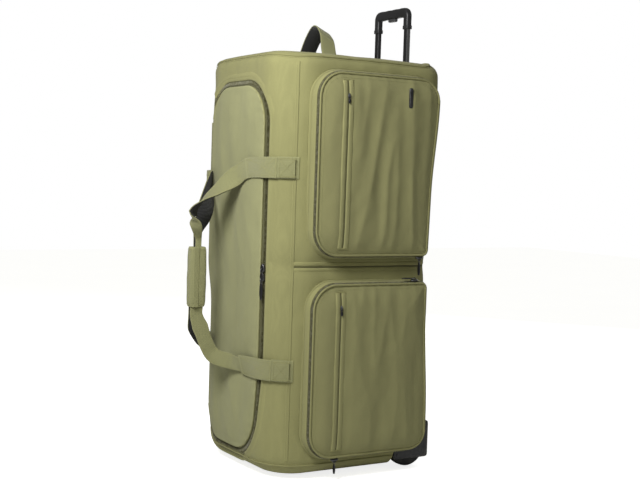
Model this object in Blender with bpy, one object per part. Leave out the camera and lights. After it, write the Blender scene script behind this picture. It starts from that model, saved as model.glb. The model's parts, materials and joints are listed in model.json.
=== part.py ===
"""Rolling duffel bag standing upright on its wheels and front feet.

Frame: metres, +Z up, the bag's front lid faces -Y, the wheels and the telescopic
handle are at +Y, and the stacked zip pockets are on the +X and -X sides.
The origin is on the floor under the middle of the whole bag.
"""
import math

import bmesh
import bpy
from mathutils import Matrix, Vector

# ---------------------------------------------------------------- sizes (metres)
GAP = 0.0004                              # clearance between neighbouring pieces
FRONT_Y, BACK_Y = -0.1272, 0.2158         # front and back faces of the case
HALF_W = 0.175                            # half width of the case
Z_BOTTOM, Z_TOP = 0.014, 0.790
FRONT_R, BACK_R = 0.080, 0.040            # radii of the upright corners
WALL = 0.006                              # padded cloth wall
RIM_BEVEL = 0.015                         # rounding of the top and bottom rims

LID_X = 0.110                             # half width of the lid window
LID_AXIS_IN = 0.0010                      # lid hinge line, just under the cloth
LID_LOW, LID_HIGH, LID_R = 0.0395, 0.7355, 0.070
LID_GAP = 0.001
TAPER_Z, TAPER = 0.240, 0.12              # the lid's free edge draws in below this height
RAIL_IN, RAIL_OUT, RAIL_PROUD = 0.0035, 0.0085, 0.0018

POCKET_FRONT = FRONT_Y + 0.0605
POCKET_WALL = 0.004
POCKET_RIM_X = 0.2000                     # outer rim of the bellows
FLAP_IN, FLAP_OUT = 0.2004, 0.2045        # faces of the zip-round flap
RIB_LOW, RIB_HIGH, RIB_PROUD = 0.1925, 0.1965, 0.0016
POCKETS = {"upper": (0.419, 0.760, BACK_Y - 0.0215), "lower": (0.043, 0.370, BACK_Y - 0.0255)}
POCKET_RADII = {"upper": (0.050, 0.012, 0.055, 0.050), "lower": (0.050, 0.035, 0.012, 0.050)}
SLASH_IN = 0.058                          # slash zip, back from the pocket's front edge

WHEEL_Y, WHEEL_R = BACK_Y - 0.028, 0.040
WHEEL_X0, WHEEL_X1 = 0.137, 0.159
HUB_R, AXLE_R = 0.0240, 0.0030
HOUSING = ((0.1225, BACK_Y - 0.073, 0.018), (0.1745, BACK_Y + 0.011, 0.092))
WELL_R = 0.0435

TUBE_X, TUBE_Y = 0.0520, BACK_Y + 0.0100  # telescopic handle tubes
TUBE_HALF = (0.0065, 0.0045)
TUBE_LOW, TUBE_HIGH = 0.370, 0.8726
CHANNEL_HALF = (0.0087, 0.0067)
COVER_X, COVER_LOW, COVER_HIGH, COVER_DEPTH = 0.082, 0.055, 0.780, 0.021
GRIP_X, GRIP_LOW, GRIP_HIGH = 0.0605, 0.873, 0.917
PIN_Z = 0.385
HANDLE_RANGE = (-0.085, 0.280)            # pushed right in, and drawn right out

STRAP_W, STRAP_T = 0.038, 0.003           # carry handle webbing
STRAP_X = 0.0032                          # each strap's offset inside the wrap
HANDLE_OUT = 0.080                        # stand-off of the carry grip
ANCHOR_X = 0.150
ANCHORS = {1: (0.580, 0.206), -1: (0.553, 0.222)}  # heights of each side's sewn ends
WRAP_LOW, WRAP_HIGH = 0.312, 0.426
WRAP_HALF_X, WRAP_HALF_Y = 0.0095, 0.0225
# Loose stretches of webbing: (x, stand-off from the front, height, direction of the width).
RIGHT_ABOVE = ((0.060, 0.0085, 0.577, (0.0, 0.0, 1.0)), (0.034, 0.0200, 0.562, (-0.2, 0.0, 1.0)),
               (0.022, 0.0480, 0.537, (-0.7, 0.35, 0.6)), (0.019, 0.0790, 0.513, (-0.8, 0.60, 0.2)),
               (0.020, 0.0990, 0.490, (-0.6, 0.80, 0.0)), (0.021, 0.0930, 0.467, (-0.9, -0.8, 0.0)))
RIGHT_BELOW = ((0.060, 0.0090, 0.206, (0.0, 0.3, -1.0)), (0.032, 0.0190, 0.208, (0.0, 0.0, -1.0)),
               (0.013, 0.0450, 0.219, (0.0, -0.6, -0.8)), (0.009, 0.0690, 0.243, (0.0, -0.95, -0.3)),
               (0.006, 0.0790, 0.270, (0.0, -1.0, -0.1)))
LEFT_ABOVE = ((0.085, 0.0130, 0.547, (0.0, -0.1, 1.0)), (0.052, 0.0340, 0.518, (0.0, -0.6, 0.8)),
              (0.026, 0.0560, 0.485, (0.0, -0.85, 0.5)), (0.012, 0.0720, 0.462, (0.0, -1.0, 0.1)))
LEFT_BELOW = ((0.085, 0.0120, 0.224, (0.0, 0.0, -1.0)), (0.050, 0.0320, 0.234, (0.0, -0.5, -0.85)),
              (0.024, 0.0560, 0.249, (0.0, -0.9, -0.4)), (0.009, 0.0740, 0.271, (0.0, -1.0, -0.1)))

SLIDER_Z = 0.385                          # where the two lid sliders meet
LUG_TOP = 0.0080                          # top of a slider's lug above the cloth
STEPS = 6                                 # segments in a quarter round


# ---------------------------------------------------------------- basic helpers
def clear_scene():
    for item in list(bpy.data.objects):
        bpy.data.objects.remove(item, do_unlink=True)


def material(name, colour, roughness, metallic=0.0):
    mat = bpy.data.materials.new(name)
    mat.use_nodes = True
    shader = mat.node_tree.nodes["Principled BSDF"]
    shader.inputs["Base Color"].default_value = (*colour, 1.0)
    shader.inputs["Roughness"].default_value = roughness
    shader.inputs["Metallic"].default_value = metallic
    mat.diffuse_color = (*colour, 1.0)
    return mat


def add_mesh(name, verts, faces, mat):
    """One closed mesh object with outward normals."""
    mesh = bpy.data.meshes.new(name)
    mesh.from_pydata([tuple(v) for v in verts], [], faces)
    work = bmesh.new()
    work.from_mesh(mesh)
    bmesh.ops.recalc_face_normals(work, faces=work.faces)
    work.to_mesh(mesh)
    work.free()
    mesh.update()
    obj = bpy.data.objects.new(name, mesh)
    bpy.context.scene.collection.objects.link(obj)
    if mat is not None:
        mesh.materials.append(mat)
    return obj


AXIS_MAP = {
    "X": lambda a, b, c: (c, a, b),
    "Y": lambda a, b, c: (a, c, b),
    "Z": lambda a, b, c: (a, b, c),
}


def prism(name, outline, axis, low, high, mat=None):
    """Extrude a closed 2-D outline along an axis, from low to high."""
    place = AXIS_MAP[axis]
    count = len(outline)
    verts = [place(a, b, low) for a, b in outline] + [place(a, b, high) for a, b in outline]
    sides = [(i, (i + 1) % count, count + (i + 1) % count, count + i) for i in range(count)]
    caps = [tuple(range(count)), tuple(range(count, 2 * count))]
    return add_mesh(name, verts, sides + caps, mat)


def box(name, low, high, mat=None):
    outline = [(low[0], low[1]), (high[0], low[1]), (high[0], high[1]), (low[0], high[1])]
    return prism(name, outline, "Z", low[2], high[2], mat)


def rounded_rect(a0, a1, b0, b1, radii):
    """Corner radii run: low-low, high-low, high-high, low-high."""
    corners = [(a0, b0, 180), (a1, b0, 270), (a1, b1, 0), (a0, b1, 90)]
    signs = [(1, 1), (-1, 1), (-1, -1), (1, -1)]
    points = []
    for (a, b, start), (sa, sb), radius in zip(corners, signs, radii):
        for step in range(STEPS + 1):
            angle = math.radians(start + 90.0 * step / STEPS)
            centre_a = a + sa * radius
            centre_b = b + sb * radius
            points.append((centre_a + radius * math.cos(angle), centre_b + radius * math.sin(angle)))
    return points


def circle(centre_a, centre_b, radius, count=32):
    """A regular polygon with one corner straight down."""
    angles = [2.0 * math.pi * i / count - math.pi / 2 for i in range(count)]
    return [(centre_a + radius * math.cos(t), centre_b + radius * math.sin(t)) for t in angles]


def combine(target, other, operation):
    """Exact Boolean with a hidden helper solid."""
    mod = target.modifiers.new(operation.title(), "BOOLEAN")
    mod.operation = operation
    mod.solver = "EXACT"
    mod.object = other
    other.hide_render = True
    other.display_type = "WIRE"
    return target


def cut(target, other):
    return combine(target, other, "DIFFERENCE")


def bevel(obj, width, segments=2, angle=50.0):
    mod = obj.modifiers.new("Bevel", "BEVEL")
    mod.width = width
    mod.segments = segments
    mod.limit_method = "ANGLE"
    mod.angle_limit = math.radians(angle)
    return obj


def smooth(obj):
    obj.data.shade_smooth()
    obj.data.set_sharp_from_angle(angle=math.radians(35))
    return obj


def set_origin(obj, point):
    """Move the object's origin to a point, such as its joint's axis."""
    obj.data.transform(Matrix.Translation(-Vector(point)))
    obj.location = point


# ---------------------------------------------------------------- case
def case_block(name, grow, low, high, mat=None, rim=0.0):
    outline = rounded_rect(-HALF_W - grow, HALF_W + grow, FRONT_Y - grow, BACK_Y + grow,
                           (FRONT_R + grow, FRONT_R + grow, BACK_R + grow, BACK_R + grow))
    block = prism(name, outline, "Z", low, high, mat)
    if rim:
        bevel(block, rim, 3, 60.0)
    return block


def inner_block(name):
    """The hollow of the case, leaving cloth walls round both wheel housings."""
    hollow = case_block(name, -WALL, Z_BOTTOM + WALL, Z_TOP - WALL)
    (x0, y0, _), (_, _, z1) = HOUSING
    for side in (-1, 1):
        near, far = x0 - WALL - GAP, 0.30
        low = (min(side * near, side * far), y0 - WALL - GAP, -0.02)
        high = (max(side * near, side * far), 0.40, z1 + WALL + GAP)
        cut(hollow, box(name + "_keep", low, high))
    return hollow


def draw_in(x, z):
    """Moves a point of the lid's free side inwards, the more the lower it lies."""
    depth = max(0.0, (TAPER_Z - z) / (TAPER_Z - LID_LOW))
    return (x * (1.0 - TAPER * depth), z) if x > 0.0 else (x, z)


def window(name, shrink, mat=None):
    outline = rounded_rect(-LID_X + shrink, LID_X - shrink, LID_LOW + shrink, LID_HIGH - shrink,
                           (LID_R - shrink,) * 4)
    lower_half = 2 * (STEPS + 1)
    outline.insert(lower_half, (LID_X - shrink, TAPER_Z))
    return prism(name, [draw_in(x, z) for x, z in outline], "Y", FRONT_Y - 0.02, FRONT_Y + 0.06, mat)


def anchor_patch(side, height):
    """Sewn-down end of a carry strap, standing proud of the cloth."""
    patch = case_block("anchor_helper", 0.002, 0.05, 0.75)
    xs = sorted((side * 0.1405, side * 0.190))
    area = box("anchor_area", (xs[0], FRONT_Y - 0.01, height - STRAP_W / 2),
               (xs[1], FRONT_Y + 0.042, height + STRAP_W / 2))
    combine(patch, area, "INTERSECT")
    return cut(patch, case_block("anchor_core", -0.003, 0.04, 0.76))


def build_case(cloth, board):
    shell = case_block("main_shell", 0.0, Z_BOTTOM, Z_TOP, cloth, RIM_BEVEL)
    cut(shell, inner_block("case_hollow"))
    cut(shell, window("lid_window", 0.0))
    (x0, y0, _), (_, _, z1) = HOUSING
    for side in (-1, 1):
        xs = sorted((side * (x0 - GAP), side * 0.30))
        cut(shell, box("wheel_notch", (xs[0], y0 - GAP, -0.02), (xs[1], 0.40, z1 + GAP)))
    for side in (-1, 1):
        for height in ANCHORS[side]:
            combine(shell, anchor_patch(side, height), "UNION")
    smooth(shell)
    box("base_board", (-0.134, BACK_Y - 0.0105, 0.105), (0.134, BACK_Y - 0.0064, 0.770), board)
    box("bottom_board", (-0.110, FRONT_Y + 0.020, 0.0204), (0.110, BACK_Y - 0.012, 0.0245), board)


def build_lid(cloth, zip_mat):
    lid = case_block("main_lid", 0.0, Z_BOTTOM, Z_TOP, cloth)
    cut(lid, case_block("lid_core", -WALL, -0.02, 0.85))
    combine(lid, window("lid_area", LID_GAP), "INTERSECT")
    smooth(lid)
    set_origin(lid, (-LID_X + LID_GAP, FRONT_Y + LID_AXIS_IN, 0.0))
    rail = case_block("main_zip", RAIL_PROUD, LID_LOW - 0.011, LID_HIGH + 0.012, zip_mat)
    cut(rail, case_block("zip_core", GAP, -0.02, 0.85))
    band = window("zip_band", -RAIL_OUT)
    cut(band, window("zip_band_in", -RAIL_IN))
    combine(rail, band, "INTERSECT")
    cut(rail, box("zip_open_side", (-0.30, -0.30, -0.1), (-LID_X + 0.030, 0.30, 0.9)))


# ---------------------------------------------------------------- pockets
def pocket_outline(level, grow=0.0):
    low, high, back = POCKETS[level]
    radii = [radius + grow for radius in POCKET_RADII[level]]
    return rounded_rect(POCKET_FRONT - grow, back + grow, low - grow, high + grow, radii)


def side_prism(name, outline, side, near, far, mat=None):
    low, high = sorted((side * near, side * far))
    return prism(name, outline, "X", low, high, mat)


def build_pocket(side, level, cloth):
    tag = ("right" if side > 0 else "left") + "_" + level
    frame = side_prism("pocket_frame_" + tag, pocket_outline(level), side, 0.160, POCKET_RIM_X, cloth)
    rib = side_prism("rib", pocket_outline(level, RIB_PROUD), side, RIB_LOW, RIB_HIGH)
    combine(frame, rib, "UNION")
    cut(frame, side_prism("pocket_hollow", pocket_outline(level, -POCKET_WALL), side, 0.15, 0.25))
    cut(frame, case_block("case_cutter", GAP, -0.02, 0.90))
    if level == "lower":
        xs = sorted((side * 0.100, side * (HOUSING[1][0] + GAP)))
        cut(frame, box("housing_cutter", (xs[0], HOUSING[0][1] - GAP, -0.02), (xs[1], 0.30, 0.0924)))
    smooth(frame)
    flap = side_prism("pocket_flap_" + tag, pocket_outline(level), side, FLAP_IN, FLAP_OUT, cloth)
    low, high, back = POCKETS[level]
    slash_y = POCKET_FRONT + SLASH_IN
    xs = sorted((side * (FLAP_OUT - 0.001), side * (FLAP_OUT + 0.0018)))
    rail = box("slash_rail", (xs[0], slash_y - 0.0025, low + 0.030),
               (xs[1], slash_y + 0.0025, high - 0.030))
    combine(flap, rail, "UNION")
    smooth(flap)
    set_origin(flap, (side * FLAP_IN, back, 0.0))


# ---------------------------------------------------------------- zip sliders
def local_frame(origin, travel, normal):
    """Columns: across the zip, along the zip, out of the surface."""
    along, out = Vector(travel).normalized(), Vector(normal).normalized()
    across = along.cross(out)
    basis = Matrix((across, along, out)).transposed().to_4x4()
    return Matrix.Translation(Vector(origin)) @ basis


def slider_profile(half):
    groove = half - 0.0014
    return [(-half, 0.0004), (-groove, 0.0004), (-groove, 0.0023), (groove, 0.0023),
            (groove, 0.0004), (half, 0.0004), (half, 0.0040), (half - 0.0010, 0.0050),
            (-half + 0.0010, 0.0050), (-half, 0.0040)]


def build_slider(name, origin, travel, normal, mat, lug_at=0.0, half=0.0045, fixed_tab=False):
    """Zip slider that straddles its rail; the lug carries the pull tab."""
    frame = local_frame(origin, travel, normal)
    body = prism(name, slider_profile(half), "Y", -0.0080, 0.0080, mat)
    body.data.transform(frame)
    if fixed_tab:
        lug = box("slider_tab", (-0.0030, -0.0300, 0.0045), (0.0030, 0.0040, 0.0062))
    else:
        lug = box("slider_lug", (-0.0012, lug_at - 0.0011, 0.0045), (0.0012, lug_at + 0.0011, LUG_TOP))
    lug.data.transform(frame)
    combine(body, lug, "UNION")
    set_origin(body, origin)
    return frame @ Matrix.Translation((0.0, lug_at, LUG_TOP - 0.0012))


def tab_outline(length):
    return [(-0.0032, -0.0009), (-0.0017, -0.0009), (-0.0017, 0.0028), (0.0017, 0.0028),
            (0.0017, -0.0009), (0.0032, -0.0009), (0.0032, 0.0030), (0.0040, 0.0060),
            (0.0040, length - 0.0020), (0.0030, length), (-0.0030, length),
            (-0.0040, length - 0.0020), (-0.0040, 0.0060), (-0.0032, 0.0030)]


def build_tab(name, frame, direction, length, mat):
    """Forked pull tab round the slider's lug, pointing along a direction of the lug's frame."""
    axis_point = frame.to_translation()
    across = (frame.to_3x3() @ Vector((1.0, 0.0, 0.0))).normalized()
    tab = prism(name, tab_outline(length), "Z", -0.0009, 0.0009, mat)
    down = (frame.to_3x3() @ Vector(direction)).normalized()
    basis = Matrix((across, down, across.cross(down))).transposed().to_4x4()
    tab.data.transform(Matrix.Translation(axis_point) @ basis)
    set_origin(tab, axis_point)


def corner_point(x, out=0.0):
    """A point on the front corner's curve, and the outward direction there."""
    centre_x = HALF_W - FRONT_R
    tilt = math.asin((abs(x) - centre_x) / FRONT_R)
    normal = Vector((math.copysign(math.sin(tilt), x), -math.cos(tilt), 0.0))
    centre = Vector((math.copysign(centre_x, x), FRONT_Y + FRONT_R, 0.0))
    return centre + normal * (FRONT_R + out), normal


def build_lid_sliders(metal):
    point, normal = corner_point(LID_X + (RAIL_IN + RAIL_OUT) / 2)
    for name, offset, lug_at, length in (("upper", 0.0085, -0.0045, 0.016), ("lower", -0.0085, -0.0055, 0.030)):
        origin = point + Vector((0.0, 0.0, SLIDER_Z + offset))
        frame = build_slider("lid_slider_" + name, origin, (0, 0, 1), normal, metal, lug_at, 0.0056)
        build_tab("lid_pull_" + name, frame, (0, -1, 0), length, metal)


def build_pocket_sliders(metal):
    rail_x = (RIB_LOW + RIB_HIGH) / 2
    upper_low, _, upper_back = POCKETS["upper"]
    lower_low, lower_high, lower_back = POCKETS["lower"]
    for side, tag in ((1, "right"), (-1, "left")):
        x = side * rail_x
        frame = build_slider("pocket_slider_%s_upper" % tag, (x, upper_back - 0.022, upper_low),
                             (0, 1, 0), (0, 0, -1), metal)
        build_tab("pocket_pull_%s_upper" % tag, frame, (0, 0, 1), 0.026, metal)
        frame = build_slider("pocket_slider_%s_lower" % tag, (x, POCKET_FRONT + 0.060, lower_low),
                             (0, 1, 0), (0, 0, -1), metal)
        build_tab("pocket_pull_%s_lower" % tag, frame, (0, 0, 1), 0.020, metal)
    frame = build_slider("pocket_slider_right_top", (rail_x, lower_back - 0.028, lower_high),
                         (0, 1, 0), (0, 0, 1), metal)
    build_tab("pocket_pull_right_top", frame, (0, -1, 0), 0.026, metal)


def build_slash_sliders(metal):
    for side, tag in ((1, "right"), (-1, "left")):
        for level, (_, high, _) in POCKETS.items():
            origin = (side * FLAP_OUT, POCKET_FRONT + SLASH_IN, high - 0.045)
            build_slider("slash_slider_%s_%s" % (tag, level), origin, (0, 0, 1), (side, 0, 0),
                         metal, fixed_tab=True)


def build_badge(metal):
    _, high, back = POCKETS["upper"]
    outline = rounded_rect(back - 0.069, back - 0.061, high - 0.060, high - 0.022, (0.002,) * 4)
    prism("badge", outline, "X", FLAP_OUT + GAP, FLAP_OUT + 0.0016, metal)


# ---------------------------------------------------------------- webbing
def ribbon(name, stations, width, thickness, mat, steps=4):
    """Flat webbing swept through stations of (centre, direction of its width)."""
    centres, sides = [], []
    last = len(stations) - 1
    for index in range(last):
        picks = [stations[max(0, min(last, index + k))] for k in (-1, 0, 1, 2)]
        for step in range(steps):
            t = step / steps
            weights = (-t + 2 * t**2 - t**3, 2 - 5 * t**2 + 3 * t**3, t + 4 * t**2 - 3 * t**3, t**3 - t**2)
            centres.append(sum((Vector(p[0]) * w / 2 for p, w in zip(picks, weights)), Vector()))
            sides.append(Vector(picks[1][1]).lerp(Vector(picks[2][1]), t))
    centres.append(Vector(stations[-1][0]))
    sides.append(Vector(stations[-1][1]))
    verts, count = [], len(centres)
    for index, centre in enumerate(centres):
        ahead, behind = centres[min(count - 1, index + 1)], centres[max(0, index - 1)]
        tangent = (ahead - behind).normalized()
        across = (sides[index] - tangent * sides[index].dot(tangent)).normalized() * width / 2
        out = tangent.cross(across).normalized() * thickness / 2
        verts += [centre - across - out, centre + across - out, centre + across + out, centre - across + out]
    faces = [(0, 1, 2, 3), tuple(4 * (count - 1) + k for k in range(4))]
    for ring in range(count - 1):
        base = 4 * ring
        faces += [(base + k, base + (k + 1) % 4, base + 4 + (k + 1) % 4, base + 4 + k) for k in range(4)]
    return smooth(add_mesh(name, verts, faces, mat))


def strap_end(side, height, up):
    """From the sewn anchor round the case's corner to the lid."""
    stations = []
    for x in (ANCHOR_X, 0.128):
        point, _ = corner_point(x, 0.0045)
        stations.append(((side * point.x, point.y, height), (0, 0, up)))
    stations.append(((side * 0.098, FRONT_Y - 0.0048, height), (0, 0, up)))
    return stations


def strap_loose(side, rows):
    return [((side * x, FRONT_Y - out, z), (side * w[0], w[1], w[2])) for x, out, z, w in rows]


def build_strap(name, side, above, below, mat):
    out = FRONT_Y - HANDLE_OUT
    upper = strap_end(side, ANCHORS[side][0], 1.0) + strap_loose(side, above)
    lower = strap_end(side, ANCHORS[side][1], -1.0) + strap_loose(side, below)
    top, run = WRAP_HIGH + 0.018, WRAP_HIGH - WRAP_LOW + 0.036
    straight = [((side * STRAP_X, out, top - run * k / 7), (0, -1, 0)) for k in range(8)]
    strap = ribbon(name, upper + straight + lower[::-1], STRAP_W, STRAP_T, mat)
    hinge, _ = corner_point(ANCHOR_X, 0.0045)
    set_origin(strap, (side * hinge.x, hinge.y, 0.0))


def build_carry_handle(webbing):
    build_strap("carry_strap_right", 1, RIGHT_ABOVE, RIGHT_BELOW, webbing)
    build_strap("carry_strap_left", -1, LEFT_ABOVE, LEFT_BELOW, webbing)
    out = FRONT_Y - HANDLE_OUT
    sleeve = rounded_rect(-WRAP_HALF_X, WRAP_HALF_X, out - WRAP_HALF_Y, out + WRAP_HALF_Y, (0.006,) * 4)
    wrap = prism("grip_wrap", sleeve, "Z", WRAP_LOW, WRAP_HIGH, webbing)
    cut(wrap, box("wrap_hollow", (-0.0062, out - 0.0200, 0.2), (0.0062, out + 0.0200, 0.5)))
    smooth(wrap)
    hinge, _ = corner_point(ANCHOR_X, 0.0045)
    set_origin(wrap, (-hinge.x, hinge.y, 0.0))


def build_top_handle(webbing):
    """Grab loop that leans over to one side."""
    y = (FRONT_Y + BACK_Y) / 2 + 0.002
    path = ((-0.068, 0.7918, 0.0), (-0.052, 0.7945, 0.0), (-0.042, 0.812, -0.1), (-0.020, 0.840, -0.3),
            (0.006, 0.858, -0.45), (0.030, 0.842, -0.45), (0.041, 0.812, -0.2), (0.050, 0.7945, 0.0),
            (0.066, 0.7918, 0.0))
    ribbon("top_handle", [((x, y, z), (0, 1, lean)) for x, z, lean in path], 0.034, 0.0025, webbing, 3)


# ---------------------------------------------------------------- telescopic handle
def tube(name, centre, half, wall, low, high, mat):
    (cx, cy), (hx, hy) = centre, half
    body = prism(name, rounded_rect(cx - hx, cx + hx, cy - hy, cy + hy, (0.0020,) * 4), "Z", low, high, mat)
    inner = box(name + "_bore", (cx - hx + wall, cy - hy + wall, low - 0.01),
                (cx + hx - wall, cy + hy - wall, high + 0.01))
    return cut(body, inner)


def side_window(target, side, x, z, half):
    xs = sorted((side * (x - 0.0015), side * (x + 0.0040)))
    return cut(target, box("side_window", (xs[0], TUBE_Y - half, z - half), (xs[1], TUBE_Y + half, z + half)))


def build_tubes(metal, steel):
    for side, tag in ((1, "right"), (-1, "left")):
        x = side * TUBE_X
        channel = tube("handle_channel_" + tag, (x, TUBE_Y), CHANNEL_HALF, 0.0018, 0.080, 0.7755, steel)
        for z in (PIN_Z + HANDLE_RANGE[0], PIN_Z + HANDLE_RANGE[1]):
            side_window(channel, side, TUBE_X + CHANNEL_HALF[0] - 0.0015, z, 0.0025)
        inner = tube("handle_tube_" + tag, (x, TUBE_Y), TUBE_HALF, 0.0012, TUBE_LOW, TUBE_HIGH, metal)
        side_window(inner, side, TUBE_X + TUBE_HALF[0] - 0.0010, PIN_Z, 0.0022)
        rod = prism("push_rod_" + tag, circle(x, TUBE_Y, 0.0022, 12), "Z", 0.400, 0.9001, steel)
        smooth(rod)
        ends = sorted((side * (TUBE_X + 0.0006), side * (TUBE_X + 0.0062)))
        pin = prism("lock_pin_" + tag, circle(TUBE_Y, PIN_Z, 0.0018, 12), "X", ends[0], ends[1], steel)
        smooth(pin)


def build_grip(plastic, accent):
    outline = rounded_rect(-GRIP_X, GRIP_X, GRIP_LOW, GRIP_HIGH, (0.002, 0.002, 0.012, 0.012))
    grip = prism("trolley_grip", outline, "Y", TUBE_Y - 0.0075, TUBE_Y + 0.0075, plastic)
    bevel(grip, 0.002)
    gap, yoke = TUBE_X - 0.008, TUBE_X + 0.003
    cut(grip, box("finger_gap", (-gap, 0.10, 0.80), (gap, 0.40, 0.897)))
    cut(grip, box("yoke_gap", (-yoke - 0.001, TUBE_Y - 0.0035, 0.9000), (yoke + 0.001, TUBE_Y + 0.0035, 0.9105)))
    cut(grip, box("button_gap", (-0.0125, TUBE_Y - 0.0040, 0.890), (0.0125, TUBE_Y + 0.0040, 0.901)))
    for side in (-1, 1):
        x = side * TUBE_X
        cut(grip, box("rod_gap", (x - 0.0032, TUBE_Y - 0.0032, 0.86), (x + 0.0032, TUBE_Y + 0.0032, 0.901)))
    button = box("push_button", (-0.0120, TUBE_Y - 0.0034, 0.8930), (0.0120, TUBE_Y + 0.0034, 0.9040), accent)
    arms = box("yoke", (-yoke, TUBE_Y - 0.0030, 0.9006), (yoke, TUBE_Y + 0.0030, 0.9055))
    combine(button, arms, "UNION")


def build_back(cloth, plastic):
    outline = rounded_rect(-COVER_X, COVER_X, COVER_LOW, COVER_HIGH, (0.020, 0.020, 0.006, 0.006))
    cover = prism("handle_cover", outline, "Y", BACK_Y + GAP, BACK_Y + COVER_DEPTH, cloth)
    cut(cover, box("cover_hollow", (-COVER_X + 0.005, BACK_Y - 0.01, COVER_LOW + 0.008),
                   (COVER_X - 0.005, BACK_Y + 0.0185, COVER_HIGH - 0.004)))
    bezel_x = TUBE_X + 0.020
    bezel = box("handle_bezel", (-bezel_x, TUBE_Y - 0.0092, COVER_HIGH + GAP),
                (bezel_x, TUBE_Y + 0.0092, COVER_HIGH + 0.0064), plastic)
    for side, tag in ((1, "right"), (-1, "left")):
        x = side * TUBE_X
        hole = box("tube_hole", (x - 0.0070, TUBE_Y - 0.0050, 0.74), (x + 0.0070, TUBE_Y + 0.0050, 0.82))
        cut(cover, hole)
        cut(bezel, hole)
        skid = rounded_rect(x - 0.006, x + 0.006, 0.100, 0.700, (0.0055,) * 4)
        prism("back_skid_" + tag, skid, "Y", BACK_Y + COVER_DEPTH + GAP, BACK_Y + 0.0255, plastic)
    smooth(cover)


# ---------------------------------------------------------------- wheels and feet
def build_wheel(side, tag, plastic, rubber, steel):
    (x0, y0, z0), (x1, y1, z1) = HOUSING
    xs = sorted((side * x0, side * x1))
    housing = bevel(box("wheel_housing_" + tag, (xs[0], y0, z0), (xs[1], y1, z1), plastic), 0.006)
    well = side_prism("well", circle(WHEEL_Y, WHEEL_R, WELL_R, 40), side, 0.1345, 0.1615)
    cut(housing, well)
    cut(housing, side_prism("axle_bore", circle(WHEEL_Y, WHEEL_R, AXLE_R + GAP, 16), side, 0.1275, 0.1695))
    smooth(housing)
    smooth(side_prism("axle_" + tag, circle(WHEEL_Y, WHEEL_R, AXLE_R, 16), side, 0.1280, 0.1690, steel))
    tyre = side_prism("tyre_" + tag, circle(WHEEL_Y, WHEEL_R, WHEEL_R, 40), side, WHEEL_X0, WHEEL_X1, rubber)
    cut(tyre, side_prism("tyre_hole", circle(WHEEL_Y, WHEEL_R, HUB_R + GAP, 40), side, 0.12, 0.18))
    hub = side_prism("hub_" + tag, circle(WHEEL_Y, WHEEL_R, HUB_R, 40), side, 0.1366, 0.1594, plastic)
    cut(hub, side_prism("hub_bore", circle(WHEEL_Y, WHEEL_R, AXLE_R + GAP, 16), side, 0.12, 0.18))
    centre = (side * (WHEEL_X0 + WHEEL_X1) / 2, WHEEL_Y, WHEEL_R)
    for piece in (tyre, hub):
        smooth(piece)
        set_origin(piece, centre)
    foot_x = side * 0.085
    box("foot_" + tag, (foot_x - 0.020, FRONT_Y + 0.080, 0.0), (foot_x + 0.020, FRONT_Y + 0.110, 0.0136), rubber)


def build():
    clear_scene()
    cloth = material("canvas", (0.235, 0.225, 0.115), 0.90)
    lining = material("bellows_cloth", (0.205, 0.195, 0.100), 0.92)
    webbing = material("webbing", (0.215, 0.215, 0.120), 0.85)
    zip_mat = material("zip_coil", (0.160, 0.155, 0.080), 0.60)
    plastic = material("black_plastic", (0.020, 0.020, 0.022), 0.45)
    accent = material("button_plastic", (0.060, 0.060, 0.064), 0.40)
    rubber = material("wheel_rubber", (0.025, 0.025, 0.026), 0.75)
    board = material("stiff_board", (0.070, 0.068, 0.060), 0.80)
    tube_metal = material("tube_metal", (0.035, 0.035, 0.038), 0.35, 0.6)
    steel = material("steel", (0.450, 0.450, 0.460), 0.35, 1.0)
    gunmetal = material("gunmetal", (0.050, 0.050, 0.055), 0.30, 1.0)
    build_case(cloth, board)
    build_lid(cloth, zip_mat)
    for side in (1, -1):
        for level in POCKETS:
            build_pocket(side, level, cloth if level == "upper" else lining)
    build_lid_sliders(gunmetal)
    build_pocket_sliders(gunmetal)
    build_slash_sliders(gunmetal)
    build_badge(gunmetal)
    build_carry_handle(webbing)
    build_top_handle(webbing)
    build_tubes(tube_metal, steel)
    build_grip(plastic, accent)
    build_back(cloth, plastic)
    build_wheel(1, "right", plastic, rubber, steel)
    build_wheel(-1, "left", plastic, rubber, steel)


build()
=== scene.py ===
"""Looks of the rolling duffel bag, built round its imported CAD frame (metres, +Z up).

-Y is the lid's side, +X and -X carry the stacked pockets, +Y is the back with the
wheels and the telescopic handle. Each piece is placed from the frame's own boxes; the
seams, sewn ends and folds between them are heights and offsets given here.
"""
import json
import math

import bmesh
import bpy
from mathutils import Matrix, Vector, noise
from mathutils.bvhtree import BVHTree


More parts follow.
